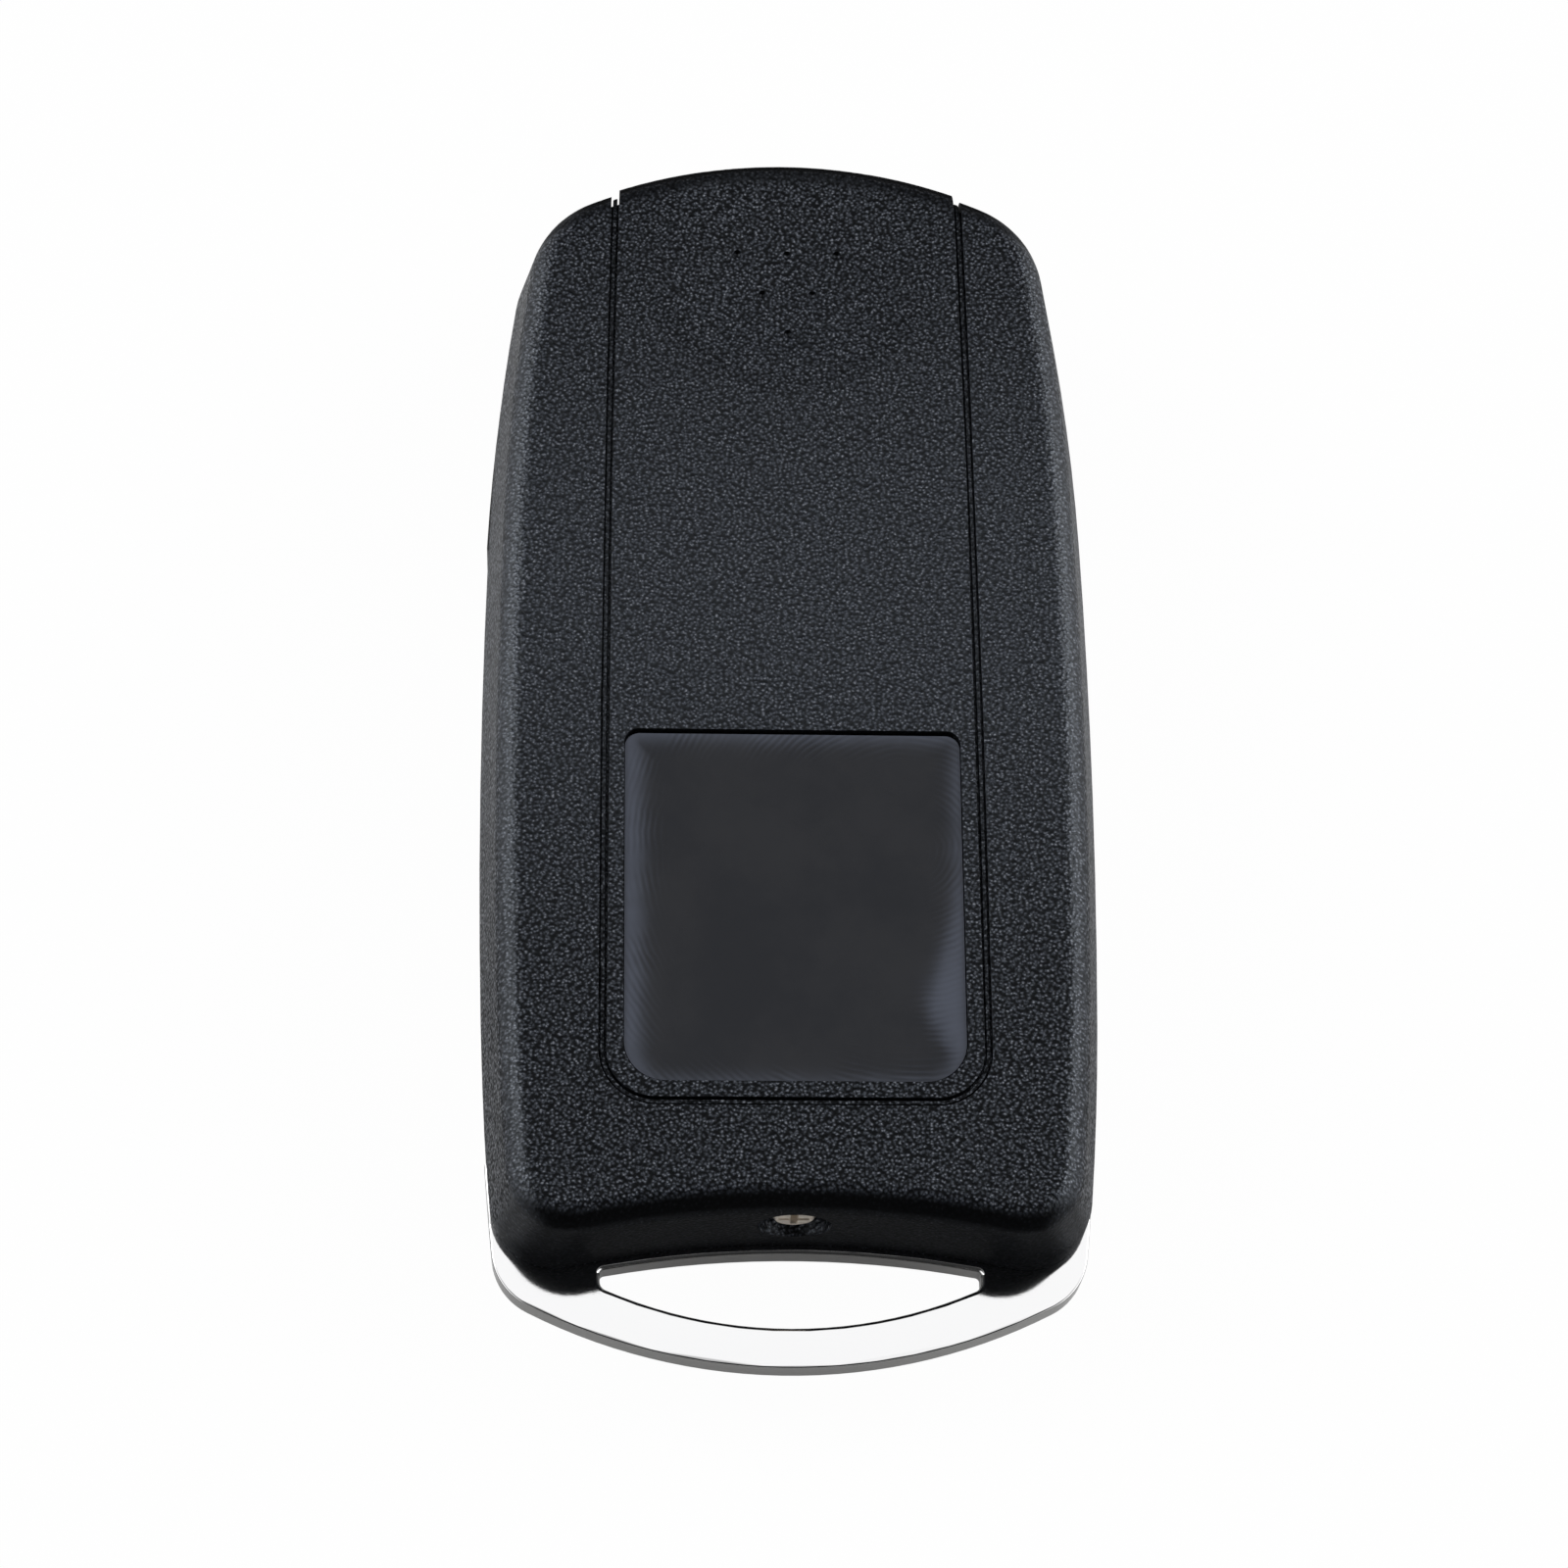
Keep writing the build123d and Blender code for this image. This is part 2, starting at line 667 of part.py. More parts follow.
# Cross-head screw that closes the case at the ring end
with BuildPart() as end_screw:
    end_round((screw_y, screw_seat_y), screw_head_radius)
    chamfer(end_screw.edges().sort_by(Axis.Y)[0], screw_head_thick / 4)
    end_round((screw_seat_y, screw_y + screw_length), screw_shank_radius)
    chamfer(end_screw.edges().sort_by(Axis.Y)[-1], screw_shank_radius / 2)
    with BuildSketch(end_plane(screw_y)) as cross:
        Rectangle(cross_length, cross_width)
        Rectangle(cross_width, cross_length)
    extrude(cross.sketch, cross_depth, mode=Mode.SUBTRACT)
end_screw.part.label = "end_screw"
export_step(end_screw.part, "parts/end_screw.step")

# Head that carries the blade and turns on its barrel
with BuildPart() as flip_head:
    rod(pivot_x, pivot_y, (head_low, head_high), head_radius)
    with BuildSketch(Plane.XY.offset(head_low)) as arm:
        end_x = -half_width + shoulder_taper - arm_proud
        start = (pivot_x - head_radius, pivot_y + arm_start_rise)
        bend = ((start[0] + end_x) / 2 - arm_bend_out, pivot_y - arm_bend_drop)
        with BuildLine():
            outer = ThreePointArc(start, bend, (end_x, arm_end_y))
            Polyline(outer @ 1, (arm_inner_x, arm_end_y), (arm_inner_x, pivot_y), start)
        make_face()
    extrude(arm.sketch, head_thick)
    fillet(flip_head.edges().filter_by(Axis.Z).sort_by(Axis.Y)[:2], head_edge)
    rod(pivot_x, pivot_y, (barrel_low, barrel_high), barrel_radius)
    rod(pivot_x, pivot_y, (barrel_low, barrel_high - barrel_roof), barrel_bore, Mode.SUBTRACT)
    slab(
        (blade_outer_x - tang_gap, blade_inner_x + tang_gap),
        (arm_end_y - 1, arm_end_y + tang_depth + tang_gap),
        (blade_low - tang_gap, blade_high + tang_gap),
        Mode.SUBTRACT,
    )
    pin_y = arm_end_y + tang_depth / 2
    rod(blade_mid_x, pin_y, (head_low, head_high), pin_radius + pin_gap, Mode.SUBTRACT)
flip_head.part.label = "flip_head"
export_step(flip_head.part, "parts/flip_head.step")

# Uncut blade with a milled groove on each face
with BuildPart() as key_blade:
    with BuildSketch(Plane.XY.offset(blade_low)) as blade_plan:
        with BuildLine():
            Polyline(
                (blade_inner_x, arm_end_y + tang_depth),
                (blade_outer_x, arm_end_y + tang_depth),
                (blade_outer_x, blade_tip_y + blade_tip_taper),
                (blade_outer_x + blade_tip_taper, blade_tip_y),
                (blade_inner_x - blade_tip_taper, blade_tip_y),
                (blade_inner_x, blade_tip_y + blade_tip_taper),
                close=True,
            )
        make_face()
    extrude(blade_plan.sketch, blade_thick)
    chamfer(key_blade.edges().filter_by(Axis.Z).sort_by(Axis.Y)[:4], blade_edge)
    tip_edges = key_blade.faces().filter_by(Axis.Z).edges().group_by(Axis.Y)[0]
    chamfer(tip_edges, blade_edge)
    for level, rise in ((blade_high, -blade_groove_depth), (blade_low, blade_groove_depth)):
        slab(
            (blade_mid_x - blade_groove_width / 2, blade_mid_x + blade_groove_width / 2),
            (blade_tip_y - 1, arm_end_y - blade_edge),
            (min(level, level + rise), max(level, level + rise)),
            Mode.SUBTRACT,
        )
    rod(blade_mid_x, pin_y, (blade_low, blade_high), pin_radius + pin_gap, Mode.SUBTRACT)
key_blade.part.label = "key_blade"
export_step(key_blade.part, "parts/key_blade.step")

# Slit roll pin through the head and the blade
with BuildPart() as blade_pin:
    rod(blade_mid_x, pin_y, (head_low, head_high), pin_radius)
    rod(blade_mid_x, pin_y, (head_low, head_high), pin_radius - pin_wall, Mode.SUBTRACT)
    slab(
        (blade_mid_x, blade_mid_x + 2 * pin_radius),
        (pin_y - pin_wall / 2, pin_y + pin_wall / 2),
        (head_low, head_high),
        Mode.SUBTRACT,
    )
blade_pin.part.label = "blade_pin"
export_step(blade_pin.part, "parts/blade_pin.step")

# Round release button with its flange and spring boss
flange_low = barrel_low
flange_high = flange_low + release_flange
with BuildPart() as release_button:
    rod(pivot_x, pivot_y, (face_recess, flange_low), release_radius)
    fillet(release_button.edges().sort_by(Axis.Z)[0], release_edge)
    rod(pivot_x, pivot_y, (flange_low, flange_high), barrel_bore - release_slide_gap)
    rod(pivot_x, pivot_y, (flange_high, flange_high + release_boss), release_boss_radius)
release_button.part.label = "release_button"
export_step(release_button.part, "parts/release_button.step")

# Coil spring between the release button and the roof of the barrel
with BuildPart() as flip_spring:
    coil_radius = barrel_bore - 2 * release_slide_gap - spring_wire_radius
    coil_low = flange_high + spring_gap + spring_wire_radius
    coil_high = barrel_high - barrel_roof - spring_gap - spring_wire_radius
    coil_pitch = (coil_high - coil_low) / spring_turns
    with BuildLine() as coil:
        Helix(coil_pitch, coil_high - coil_low, coil_radius, center=(pivot_x, pivot_y, coil_low))
    with BuildSketch(Plane(coil.line @ 0, z_dir=coil.line % 0)) as wire:
        RegularPolygon(spring_wire_radius, 6)
    sweep(wire.sketch, path=coil.line, is_frenet=True)
flip_spring.part.label = "flip_spring"
export_step(flip_spring.part, "parts/flip_spring.step")

# Hard key caps with a retaining lip
for name, y in zip(key_names, key_y):
    with BuildPart() as cap:
        pill(cap_x, y, (cap_width, cap_height), cap_corner, (face_recess, barrel_low))
        chamfer(cap.faces().sort_by(Axis.Z)[0].edges(), cap_edge)
        lip_size = (cap_width + 2 * cap_lip, cap_height + 2 * cap_lip)
        pill(cap_x, y, lip_size, cap_corner + cap_lip, (barrel_low, cap_inner_z))
    cap.part.label = name
    export_step(cap.part, f"parts/{name}.step")

# Rubber key pad with a dome under each cap and a rim down to the board
with BuildPart() as button_pad:
    pad_span = cap_pitch * (len(key_names) - 1) + 2 * pad_half_y
    pad_size = (2 * pad_half_x, pad_span)
    inner_size = (2 * (pad_half_x - pad_rim), pad_span - 2 * pad_rim)
    pill(cap_x, key_y[1], pad_size, cap_corner, (pad_low, board_low))
    pill(
        cap_x,
        key_y[1],
        inner_size,
        cap_corner - pad_rim,
        (pad_low + pad_thick, board_low),
        Mode.SUBTRACT,
    )
    for y in key_y:
        with Locations((cap_x, y, cap_inner_z + spring_gap)):
            Cone(
                dome_tip_radius,
                dome_radius,
                pad_low - cap_inner_z - spring_gap,
                align=(Align.CENTER, Align.CENTER, Align.MIN),
            )
button_pad.part.label = "button_pad"
export_step(button_pad.part, "parts/button_pad.step")

# Circuit board
board_size = (board_right - board_left, board_top - board_foot)
board_mid = ((board_left + board_right) / 2, (board_foot + board_top) / 2)
with BuildPart() as circuit_board:
    pill(*board_mid, board_size, board_corner, (board_low, board_high))
circuit_board.part.label = "circuit_board"
export_step(circuit_board.part, "parts/circuit_board.step")

# One low switch with its plunger under each cap
with BuildPart() as key_switches:
    for y in key_y:
        pill(cap_x, y, (switch_size, switch_size), switch_corner, (switch_low, board_low))
        rod(cap_x, y, (switch_low - plunger_high, switch_low), plunger_radius)
key_switches.part.label = "key_switches"
export_step(key_switches.part, "parts/key_switches.step")

# Coin cell with the step between its two cups
with BuildPart() as coin_cell:
    rod(cell_x, cell_y, (cell_low, cell_low + cell_step / 2), cell_radius - cell_step)
    rod(cell_x, cell_y, (cell_low + cell_step / 2, cell_high), cell_radius)
    chamfer(coin_cell.edges().group_by(Axis.Z)[-1], cell_step / 4)
coin_cell.part.label = "coin_cell"
export_step(coin_cell.part, "parts/coin_cell.step")

# Bent strip over the cell with a foot on the board at each side
with BuildPart() as battery_clip:
    leg_x = cell_radius + clip_gap
    roof_low = cell_high
    with BuildSketch(Plane.XZ.offset(-cell_y)) as strip:
        with Locations((cell_x, 0)):
            with BuildLine():
                Polyline(
                    (-leg_x - contact_thick - clip_foot, board_high),
                    (-leg_x, board_high),
                    (-leg_x, roof_low),
                    (leg_x, roof_low),
                    (leg_x, board_high),
                    (leg_x + contact_thick + clip_foot, board_high),
                    (leg_x + contact_thick + clip_foot, board_high + contact_thick),
                    (leg_x + contact_thick, board_high + contact_thick),
                    (leg_x + contact_thick, roof_low + contact_thick),
                    (-leg_x - contact_thick, roof_low + contact_thick),
                    (-leg_x - contact_thick, board_high + contact_thick),
                    (-leg_x - contact_thick - clip_foot, board_high + contact_thick),
                    close=True,
                )
            make_face()
    extrude(strip.sketch.moved(Location((cell_x, 0, 0))), clip_width / 2, both=True)
battery_clip.part.label = "battery_clip"
export_step(battery_clip.part, "parts/battery_clip.step")

# Contact strip under the cell
with BuildPart() as battery_contact:
    contact_size = (contact_width, contact_length)
    pill(cell_x, cell_y, contact_size, contact_width / 3, (board_high, cell_low))
battery_contact.part.label = "battery_contact"
export_step(battery_contact.part, "parts/battery_contact.step")

# Transmitter chip with its leads
with BuildPart() as controller_chip:
    pill(
        chip_x,
        chip_y,
        (chip_size, chip_size),
        chip_corner,
        (board_high + chip_lead / 2, board_high + chip_thick),
    )
    chamfer(controller_chip.faces().sort_by(Axis.Z)[-1].edges(), chip_lead / 3)
    with BuildSketch(Plane.XY.offset(board_high)) as leads:
        with Locations((chip_x, chip_y)):
            with GridLocations(0, chip_size / chip_leads, 1, chip_leads):
                Rectangle(chip_span, chip_lead)
    extrude(leads.sketch, chip_lead)
controller_chip.part.label = "controller_chip"
export_step(controller_chip.part, "parts/controller_chip.step")

# Crystal can
with BuildPart() as crystal:
    crystal_size = (crystal_length, crystal_width)
    crystal_levels = (board_high, board_high + crystal_thick)
    pill(crystal_x, crystal_y, crystal_size, crystal_corner, crystal_levels)
crystal.part.label = "crystal"
export_step(crystal.part, "parts/crystal.step")

# Small resistors and capacitors beside the transmitter chip
with BuildPart() as chip_components:
    with BuildSketch(Plane.XY.offset(board_high)) as seats:
        with Locations((small_x, chip_y)):
            with GridLocations(small_step_x, small_step_y, 2, 3):
                Rectangle(small_length, small_width)
    extrude(seats.sketch, small_thick)
chip_components.part.label = "chip_components"
export_step(chip_components.part, "parts/chip_components.step")

# Wire antenna standing on the board along its far edge
with BuildPart() as antenna:
    antenna_top = board_high + antenna_rise
    with BuildLine() as antenna_path:
        FilletPolyline(
            (antenna_left, antenna_y, board_high),
            (antenna_left, antenna_y, antenna_top),
            (antenna_right, antenna_y, antenna_top),
            (antenna_right, antenna_y, board_high),
            radius=2 * antenna_radius,
        )
    with BuildSketch(Plane.XY.offset(board_high)) as antenna_wire:
        with Locations((antenna_left, antenna_y)):
            RegularPolygon(antenna_radius, 8)
    sweep(antenna_wire.sketch, path=antenna_path.line)
antenna.part.label = "antenna"
export_step(antenna.part, "parts/antenna.step")

# Transponder chip in its pocket under the rear roof
with BuildPart() as transponder_chip:
    slab(
        (pocket_x, pocket_x + transponder_length),
        (pocket_y, pocket_y + transponder_width),
        (roof_z - transponder_thick, roof_z),
    )
    fillet(transponder_chip.edges().filter_by(Axis.Z), transponder_width / 5)
transponder_chip.part.label = "transponder_chip"
export_step(transponder_chip.part, "parts/transponder_chip.step")

# Indicator lamp on the board and the clear pipe that brings its light to the button face
with BuildPart() as indicator_led:
    pill(stud_x, led_y, (led_length, led_width), led_corner, (switch_low, board_low))
indicator_led.part.label = "indicator_led"
export_step(indicator_led.part, "parts/indicator_led.step")

with BuildPart() as light_pipe:
    rod(stud_x, led_y, (panel_depth, switch_low - spring_gap), led_pipe_radius)
    rod(stud_x, led_y, (floor_thick, barrel_low + cap_lip_thick), 2 * led_pipe_radius)
light_pipe.part.label = "light_pipe"
export_step(light_pipe.part, "parts/light_pipe.step")
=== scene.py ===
import json
from math import cos, pi, radians, sin, tan

import bmesh
import bpy
import numpy as np
from mathutils import Matrix, Vector

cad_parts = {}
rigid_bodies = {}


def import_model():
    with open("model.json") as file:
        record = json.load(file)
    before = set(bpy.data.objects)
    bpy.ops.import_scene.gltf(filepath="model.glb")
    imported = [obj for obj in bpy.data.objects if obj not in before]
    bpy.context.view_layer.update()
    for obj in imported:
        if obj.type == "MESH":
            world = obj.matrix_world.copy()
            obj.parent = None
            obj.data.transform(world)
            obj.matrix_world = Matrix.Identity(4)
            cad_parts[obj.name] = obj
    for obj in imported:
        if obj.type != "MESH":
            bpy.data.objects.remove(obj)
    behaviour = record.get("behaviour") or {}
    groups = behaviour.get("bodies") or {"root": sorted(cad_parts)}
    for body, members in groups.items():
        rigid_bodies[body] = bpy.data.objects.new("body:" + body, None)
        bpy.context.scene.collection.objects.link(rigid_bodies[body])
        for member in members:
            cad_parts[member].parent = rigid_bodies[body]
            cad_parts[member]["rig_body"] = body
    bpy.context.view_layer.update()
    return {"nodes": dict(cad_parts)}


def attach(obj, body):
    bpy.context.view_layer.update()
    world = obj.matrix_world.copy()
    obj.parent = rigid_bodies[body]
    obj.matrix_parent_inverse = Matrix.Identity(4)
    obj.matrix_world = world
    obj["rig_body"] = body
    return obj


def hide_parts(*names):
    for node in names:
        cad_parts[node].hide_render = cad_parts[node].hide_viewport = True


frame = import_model()
mm = 0.001
print("frame loaded")


class Wire:
    # One output socket; each operator adds the Math node that it names
    def __init__(self, nodes, socket):
        self.nodes = nodes
        self.socket = socket

    def math(self, operation, *others):
        return self.nodes.node("ShaderNodeMath", {"operation": operation}, [self, *others])

    def __add__(self, other):
        return self.math("ADD", other)

    def __sub__(self, other):
        return self.math("SUBTRACT", other)

    def __rsub__(self, other):
        return self.nodes.node("ShaderNodeMath", {"operation": "SUBTRACT"}, [other, self])

    def __mul__(self, other):
        return self.math("MULTIPLY", other)

    def __pow__(self, other):
        return self.math("POWER", other)

    def __abs__(self):
        return self.math("ABSOLUTE")

    __radd__ = __add__
    __rmul__ = __mul__

    def most(self, other):
        return self.math("MAXIMUM", other)

    def rise(self, low, high):
        # 0 below low, 1 above high, smooth between; low may be the larger
        settings = {"interpolation_type": "SMOOTHSTEP"}
        return self.nodes.node("ShaderNodeMapRange", settings, [self, low, high, 0.0, 1.0])


class Nodes:
    # Emptied node tree, patterned by one set of coordinates
    def __init__(self, tree, coordinates):
        self.tree = tree
        self.tree.nodes.clear()
        self.place = self.node("ShaderNodeTexCoord", out=coordinates)

    def feed(self, socket, value):
        if isinstance(value, Wire):
            self.tree.links.new(value.socket, socket)
        elif isinstance(value, tuple) and len(value) == 3 and socket.type == "RGBA":
            socket.default_value = (*value, 1.0)
        else:
            socket.default_value = value

    def node(self, kind, settings=None, inputs=None, out=0):
        made = self.tree.nodes.new(kind)
        for key, value in (settings or {}).items():
            setattr(made, key, value)
        pairs = inputs.items() if isinstance(inputs, dict) else enumerate(inputs or [])
        for key, value in pairs:
            self.feed(made.inputs[key], value)
        return Wire(self, made.outputs[out])

    def axis(self, name):
        if not hasattr(self, "axes"):
            split = self.node("ShaderNodeSeparateXYZ", inputs=[self.place])
            outputs = split.socket.node.outputs
            self.axes = {key: Wire(self, outputs[key.upper()]) for key in "xyz"}
        return self.axes[name]

    def distance(self, x, y):
        # Distance from the upright line through x, y
        across = self.axis("x") - x
        along = self.axis("y") - y
        return (across * across + along * along) ** 0.5

    def facing(self, name):
        # One part of the surface's own direction
        normal = self.node("ShaderNodeNewGeometry", out="Normal")
        split = self.node("ShaderNodeSeparateXYZ", inputs=[normal])
        return Wire(self, split.socket.node.outputs[name.upper()])

    def stretched(self, *scale):
        return self.node("ShaderNodeMapping", inputs={"Vector": self.place, "Scale": scale})

    def noise(self, size, detail=2.0, rough=0.5, place=None):
        inputs = {
            "Vector": place or self.place,
            "Scale": 1 / size,
            "Detail": detail,
            "Roughness": rough,
        }
        return self.node("ShaderNodeTexNoise", inputs=inputs)

    def cells(self, size, dimensions):
        # Turned, so that its grid lies along no edge
        rotation = (0.0, 0.0, 0.6)
        turned = self.node(
            "ShaderNodeMapping", inputs={"Vector": self.place, "Rotation": rotation}
        )
        inputs = {"Vector": turned, "Scale": 1 / size}
        return self.node("ShaderNodeTexVoronoi", {"voronoi_dimensions": dimensions}, inputs)

    def mix(self, factor, first, second):
        made = self.node("ShaderNodeMix", {"data_type": "RGBA"}, {"Factor": factor}, out=2)
        self.feed(made.socket.node.inputs[6], first)
        self.feed(made.socket.node.inputs[7], second)
        return made


class Paint(Nodes):
    # Material of one finish, with a Principled shader at its end
    def __init__(self, name, **fixed):
        self.material = bpy.data.materials.new(name)
        self.material.use_nodes = True
        super().__init__(self.material.node_tree, "Object")
        self.shader = self.tree.nodes.new("ShaderNodeBsdfPrincipled")
        self.output = self.tree.nodes.new("ShaderNodeOutputMaterial")
        self.tree.links.new(self.shader.outputs[0], self.output.inputs["Surface"])
        self.give(**fixed)

    def give(self, **sockets):
        for socket, value in sockets.items():
            self.feed(self.shader.inputs[socket.replace("_", " ")], value)

    def bump(self, height, depth):
        inputs = {"Height": height, "Distance": depth, "Strength": 1.0}
        self.feed(self.shader.inputs["Normal"], self.node("ShaderNodeBump", inputs=inputs))

    def blend(self, share, other):
        # Surface mixed with another shader by share
        first = Wire(self, self.shader.outputs[0])
        surface = self.node("ShaderNodeMixShader", inputs=[share, first, other])
        self.feed(self.output.inputs["Surface"], surface)


# Moulded plastic with a pebbled grain
shellLook = {
    # dark and light: painted shade of the pits and painted light of the pebble tops
    "dark": (0.0025, 0.0032, 0.005),
    "light": (0.058, 0.066, 0.086),
    "paintedGlint": (0.2, 0.21, 0.235),
    "matt": (0.003, 0.0031, 0.0033),
    "tint": (0.84, 0.91, 1.0),
    "flatFacing": (0.5, 0.75),
    "grainSize": 0.24 * mm,
    "wallGrain": 0.8,
    "fineSize": 0.19 * mm,
    "fineShare": 1.5,
    "grainDepth": 0.035 * mm,
    "peakRange": (0.27, 1.2),
    "paintedGlintRange": (0.85, 1.25),
    "paintedShade": 0.85,
    "cloud": 0.08,
    "cloudSize": 9 * mm,
    "cloudRoughness": 0.1,
    "peakRoughness": 0.08,
    "middleLift": 0.42,
    "middleLiftCentre": 8 * mm,
    "middleLiftReach": 33 * mm,
    "edgeHighlight": 0.38,
    "edgeFacing": (0.12, 0.4),
    "edgeEnd": (0.97, 0.8),
    "wallHighlight": 0.12,
    "wallFacing": (0.88, 0.99),
    "cornerHighlight": 0.3,
    "cornerFacing": (0.25, 0.7),
    "dishMiddle": 31.3 * mm,
    "dishRadius": 8.6 * mm,
    "dishRim": 1.3 * mm,
    "dishFade": (-0.5 * mm, -5 * mm),
    "dishFacing": (0.5, 0.9),
    "dishShade": 0.1,
    "roughness": 0.32,
    "specular": 0.68,
    "endShade": 0.97,
    "endFacing": (0.1, 0.6),
    "bowMiddle": 7.39 * mm,
    "bowStart": 29.2 * mm,
    "bowFade": 1.1 * mm,
    "bowReach": (8 * mm, 12 * mm),
    "bowShade": 0.8,
    "endWall": 0.13,
    "endWallFacing": (0.85, 1.0),
    "mattRoughness": 0.5,
}


def grainedPlastic(name, look):
    paint = Paint(name, Specular_IOR_Level=look["specular"], Specular_Tint=look["tint"])
    # Pebbles laid flat on the two faces and in depth on the walls, so that none is cut off-centre
    upright = abs(paint.facing("z")).rise(*look["flatFacing"])
    flat = paint.cells(look["grainSize"], "2D")
    deep = paint.cells(look["grainSize"], "3D") * look["wallGrain"]
    fine = paint.noise(look["fineSize"], 2.0, 0.5) - 0.5
    height = 1.0 - (deep + upright * (flat - deep)) + look["fineShare"] * fine
    cloud = paint.noise(look["cloudSize"], 2.0)
    peaks = height.rise(*look["peakRange"])
    # The few highest pebbles get a painted glint: a brighter colour standing in for light caught on
    # them
    # Pebble tops painted lighter and their pits darker: painted light and shade of the grain's
    # relief
    pebbleLightAndShade = paint.mix(peaks, look["dark"], look["light"])
    gloss = look["cloudRoughness"] * cloud - look["peakRoughness"] * peaks
    paint.give(
        Base_Color=paint.mix(height.rise(*look["paintedGlintRange"]), pebbleLightAndShade, look["paintedGlint"]),
        Roughness=look["roughness"] + gloss,
    )
    paint.bump(height, look["grainDepth"])
    # Painted shade in the pits of the grain: a dark matt shader mixed in; the long edges get a
    # painted highlight, and the middle of the back is made brighter
    edge = abs(paint.facing("x"))
    # Painted highlight along the long edges: less of the dark matt shader where they turn sideways
    paintedEdgeHighlight = edge.rise(*look["edgeFacing"]) * edge.rise(*look["edgeEnd"]) * look["edgeHighlight"]
    # The middle of the back is made brighter, fading towards both ends
    fromMiddle = abs(paint.axis("y") - look["middleLiftCentre"])
    middleLift = fromMiddle.rise(look["middleLiftReach"], 0.0) * look["middleLift"]
    paintedShade = (1.0 - peaks) * look["paintedShade"] * (1.0 - paintedEdgeHighlight) * (1.0 - middleLift)
    paintedShade = paintedShade + (cloud - 0.5) * look["cloud"]
    # Painted highlight on the side walls: less of the dark matt shader where they face sideways
    paintedShade = paintedShade - edge.rise(*look["wallFacing"]) * look["wallHighlight"]
    # Painted shade along the lower rim of the thumb dish: a ring faded out above the dish's middle
    fromRim = abs(paint.distance(0.0, look["dishMiddle"]) - look["dishRadius"])
    below = (paint.axis("y") - look["dishMiddle"]).rise(*look["dishFade"])
    rimShade = fromRim.rise(look["dishRim"], 0.0) * below
    rimShade = rimShade * paint.facing("z").rise(*look["dishFacing"])
    paintedShade = paintedShade + rimShade * look["dishShade"]
    # The two end faces are finer and matt, and darkened with painted shade, the upper one from the
    # start of its bowed edge; their corners get a painted highlight and the end walls less painted
    # shade
    endward = abs(paint.facing("y"))
    bowStart = look["bowStart"]
    bowed = paint.distance(0.0, look["bowMiddle"]).rise(bowStart, bowStart + look["bowFade"])
    bowed = bowed * (paint.axis("y") - look["bowMiddle"]).rise(*look["bowReach"])
    corner = 1.0 - edge.rise(*look["cornerFacing"]) * look["cornerHighlight"]
    turned = (bowed * look["bowShade"]).most(endward.rise(*look["endFacing"]) * corner)
    endShade = turned * look["endShade"] - endward.rise(*look["endWallFacing"]) * look["endWall"]
    # Near-black matt shader that carries the painted shade
    matt = paint.node("ShaderNodeBsdfDiffuse", inputs=[look["matt"], look["mattRoughness"]])
    paint.blend(paintedShade.most(endShade), matt)
    return paint.material


# Inlay plate: smooth, glossy, with faint marks of its mould
inlayLook = {
    "colour": (0.0078, 0.0089, 0.0128),
    "shade": (0.0018, 0.0032, 0.0074),
    # border: painted lighter colour of the falling border, a painted reflection
    "border": (0.066, 0.076, 0.104),
    "roughness": 0.12,
    "specular": 0.29,
    "markPitch": 0.38 * mm,
    "markDepth": 0.004 * mm,
    "markCentre": (7 * mm, -9 * mm),
    "wander": 0.5 * mm,
    "wanderSize": 2.5 * mm,
    "middle": -12.6 * mm,
    "sideReach": (5.5 * mm, 9.8 * mm),
    "endReach": (7.2 * mm, 11.2 * mm),
    "patchSize": 3 * mm,
    "patchRange": (0.3, 0.7),
    "rippleMilk": 0.15,
    "rippleRoughness": 0.05,
    "smudge": 0.4,
    "smudgeSize": 1.6 * mm,
    "smudgeGround": 0.25,
    "hazeAndSheenRange": (0.0, 1.1),
    "milkRoughness": 0.12,
    "mottle": ((0.75, 7 * mm, 2.0), (0.25, 1.1 * mm, 3.0)),
    "mottleRange": (0.32, 0.66),
    "swell": 0.6,
    "swellSize": 6 * mm,
}


def glossPlate(name, look):
    paint = Paint(name, Specular_IOR_Level=look["specular"])
    wander = look["wander"] * paint.noise(look["wanderSize"], 2.0)
    sweep = paint.distance(*look["markCentre"]) + wander
    marks = (sweep * (2 * pi / look["markPitch"])).math("SINE")
    nearSide = abs(paint.axis("x")).rise(*look["sideReach"])
    nearEnd = abs(paint.axis("y") - look["middle"]).rise(*look["endReach"])
    patchy = paint.noise(look["patchSize"], 2.0).rise(*look["patchRange"])
    ripple = marks * nearSide.most(nearEnd) * patchy
    # The border is hazier and painted lighter, a painted reflection on its falling edge, and its
    # inner edge follows the marks
    depth = paint.node("ShaderNodeAttribute", {"attribute_name": "border"}, out="Fac")
    smudge = paint.noise(look["smudgeSize"], 3.0) - 0.5
    smudge = look["smudge"] * smudge * (depth + look["smudgeGround"])
    hazeAndSheen = (depth + look["rippleMilk"] * ripple + smudge).rise(*look["hazeAndSheenRange"])
    coarse, fine = (share * paint.noise(size, detail) for share, size, detail in look["mottle"])
    mottle = (coarse + fine).rise(*look["mottleRange"])
    ground = paint.mix(mottle, look["shade"], look["colour"])
    gloss = look["milkRoughness"] * hazeAndSheen + look["rippleRoughness"] * ripple
    paint.give(
        Base_Color=paint.mix(hazeAndSheen, ground, look["border"]),
        Roughness=look["roughness"] + gloss,
    )
    paint.bump(ripple + look["swell"] * paint.noise(look["swellSize"]), look["markDepth"])
    return paint.material


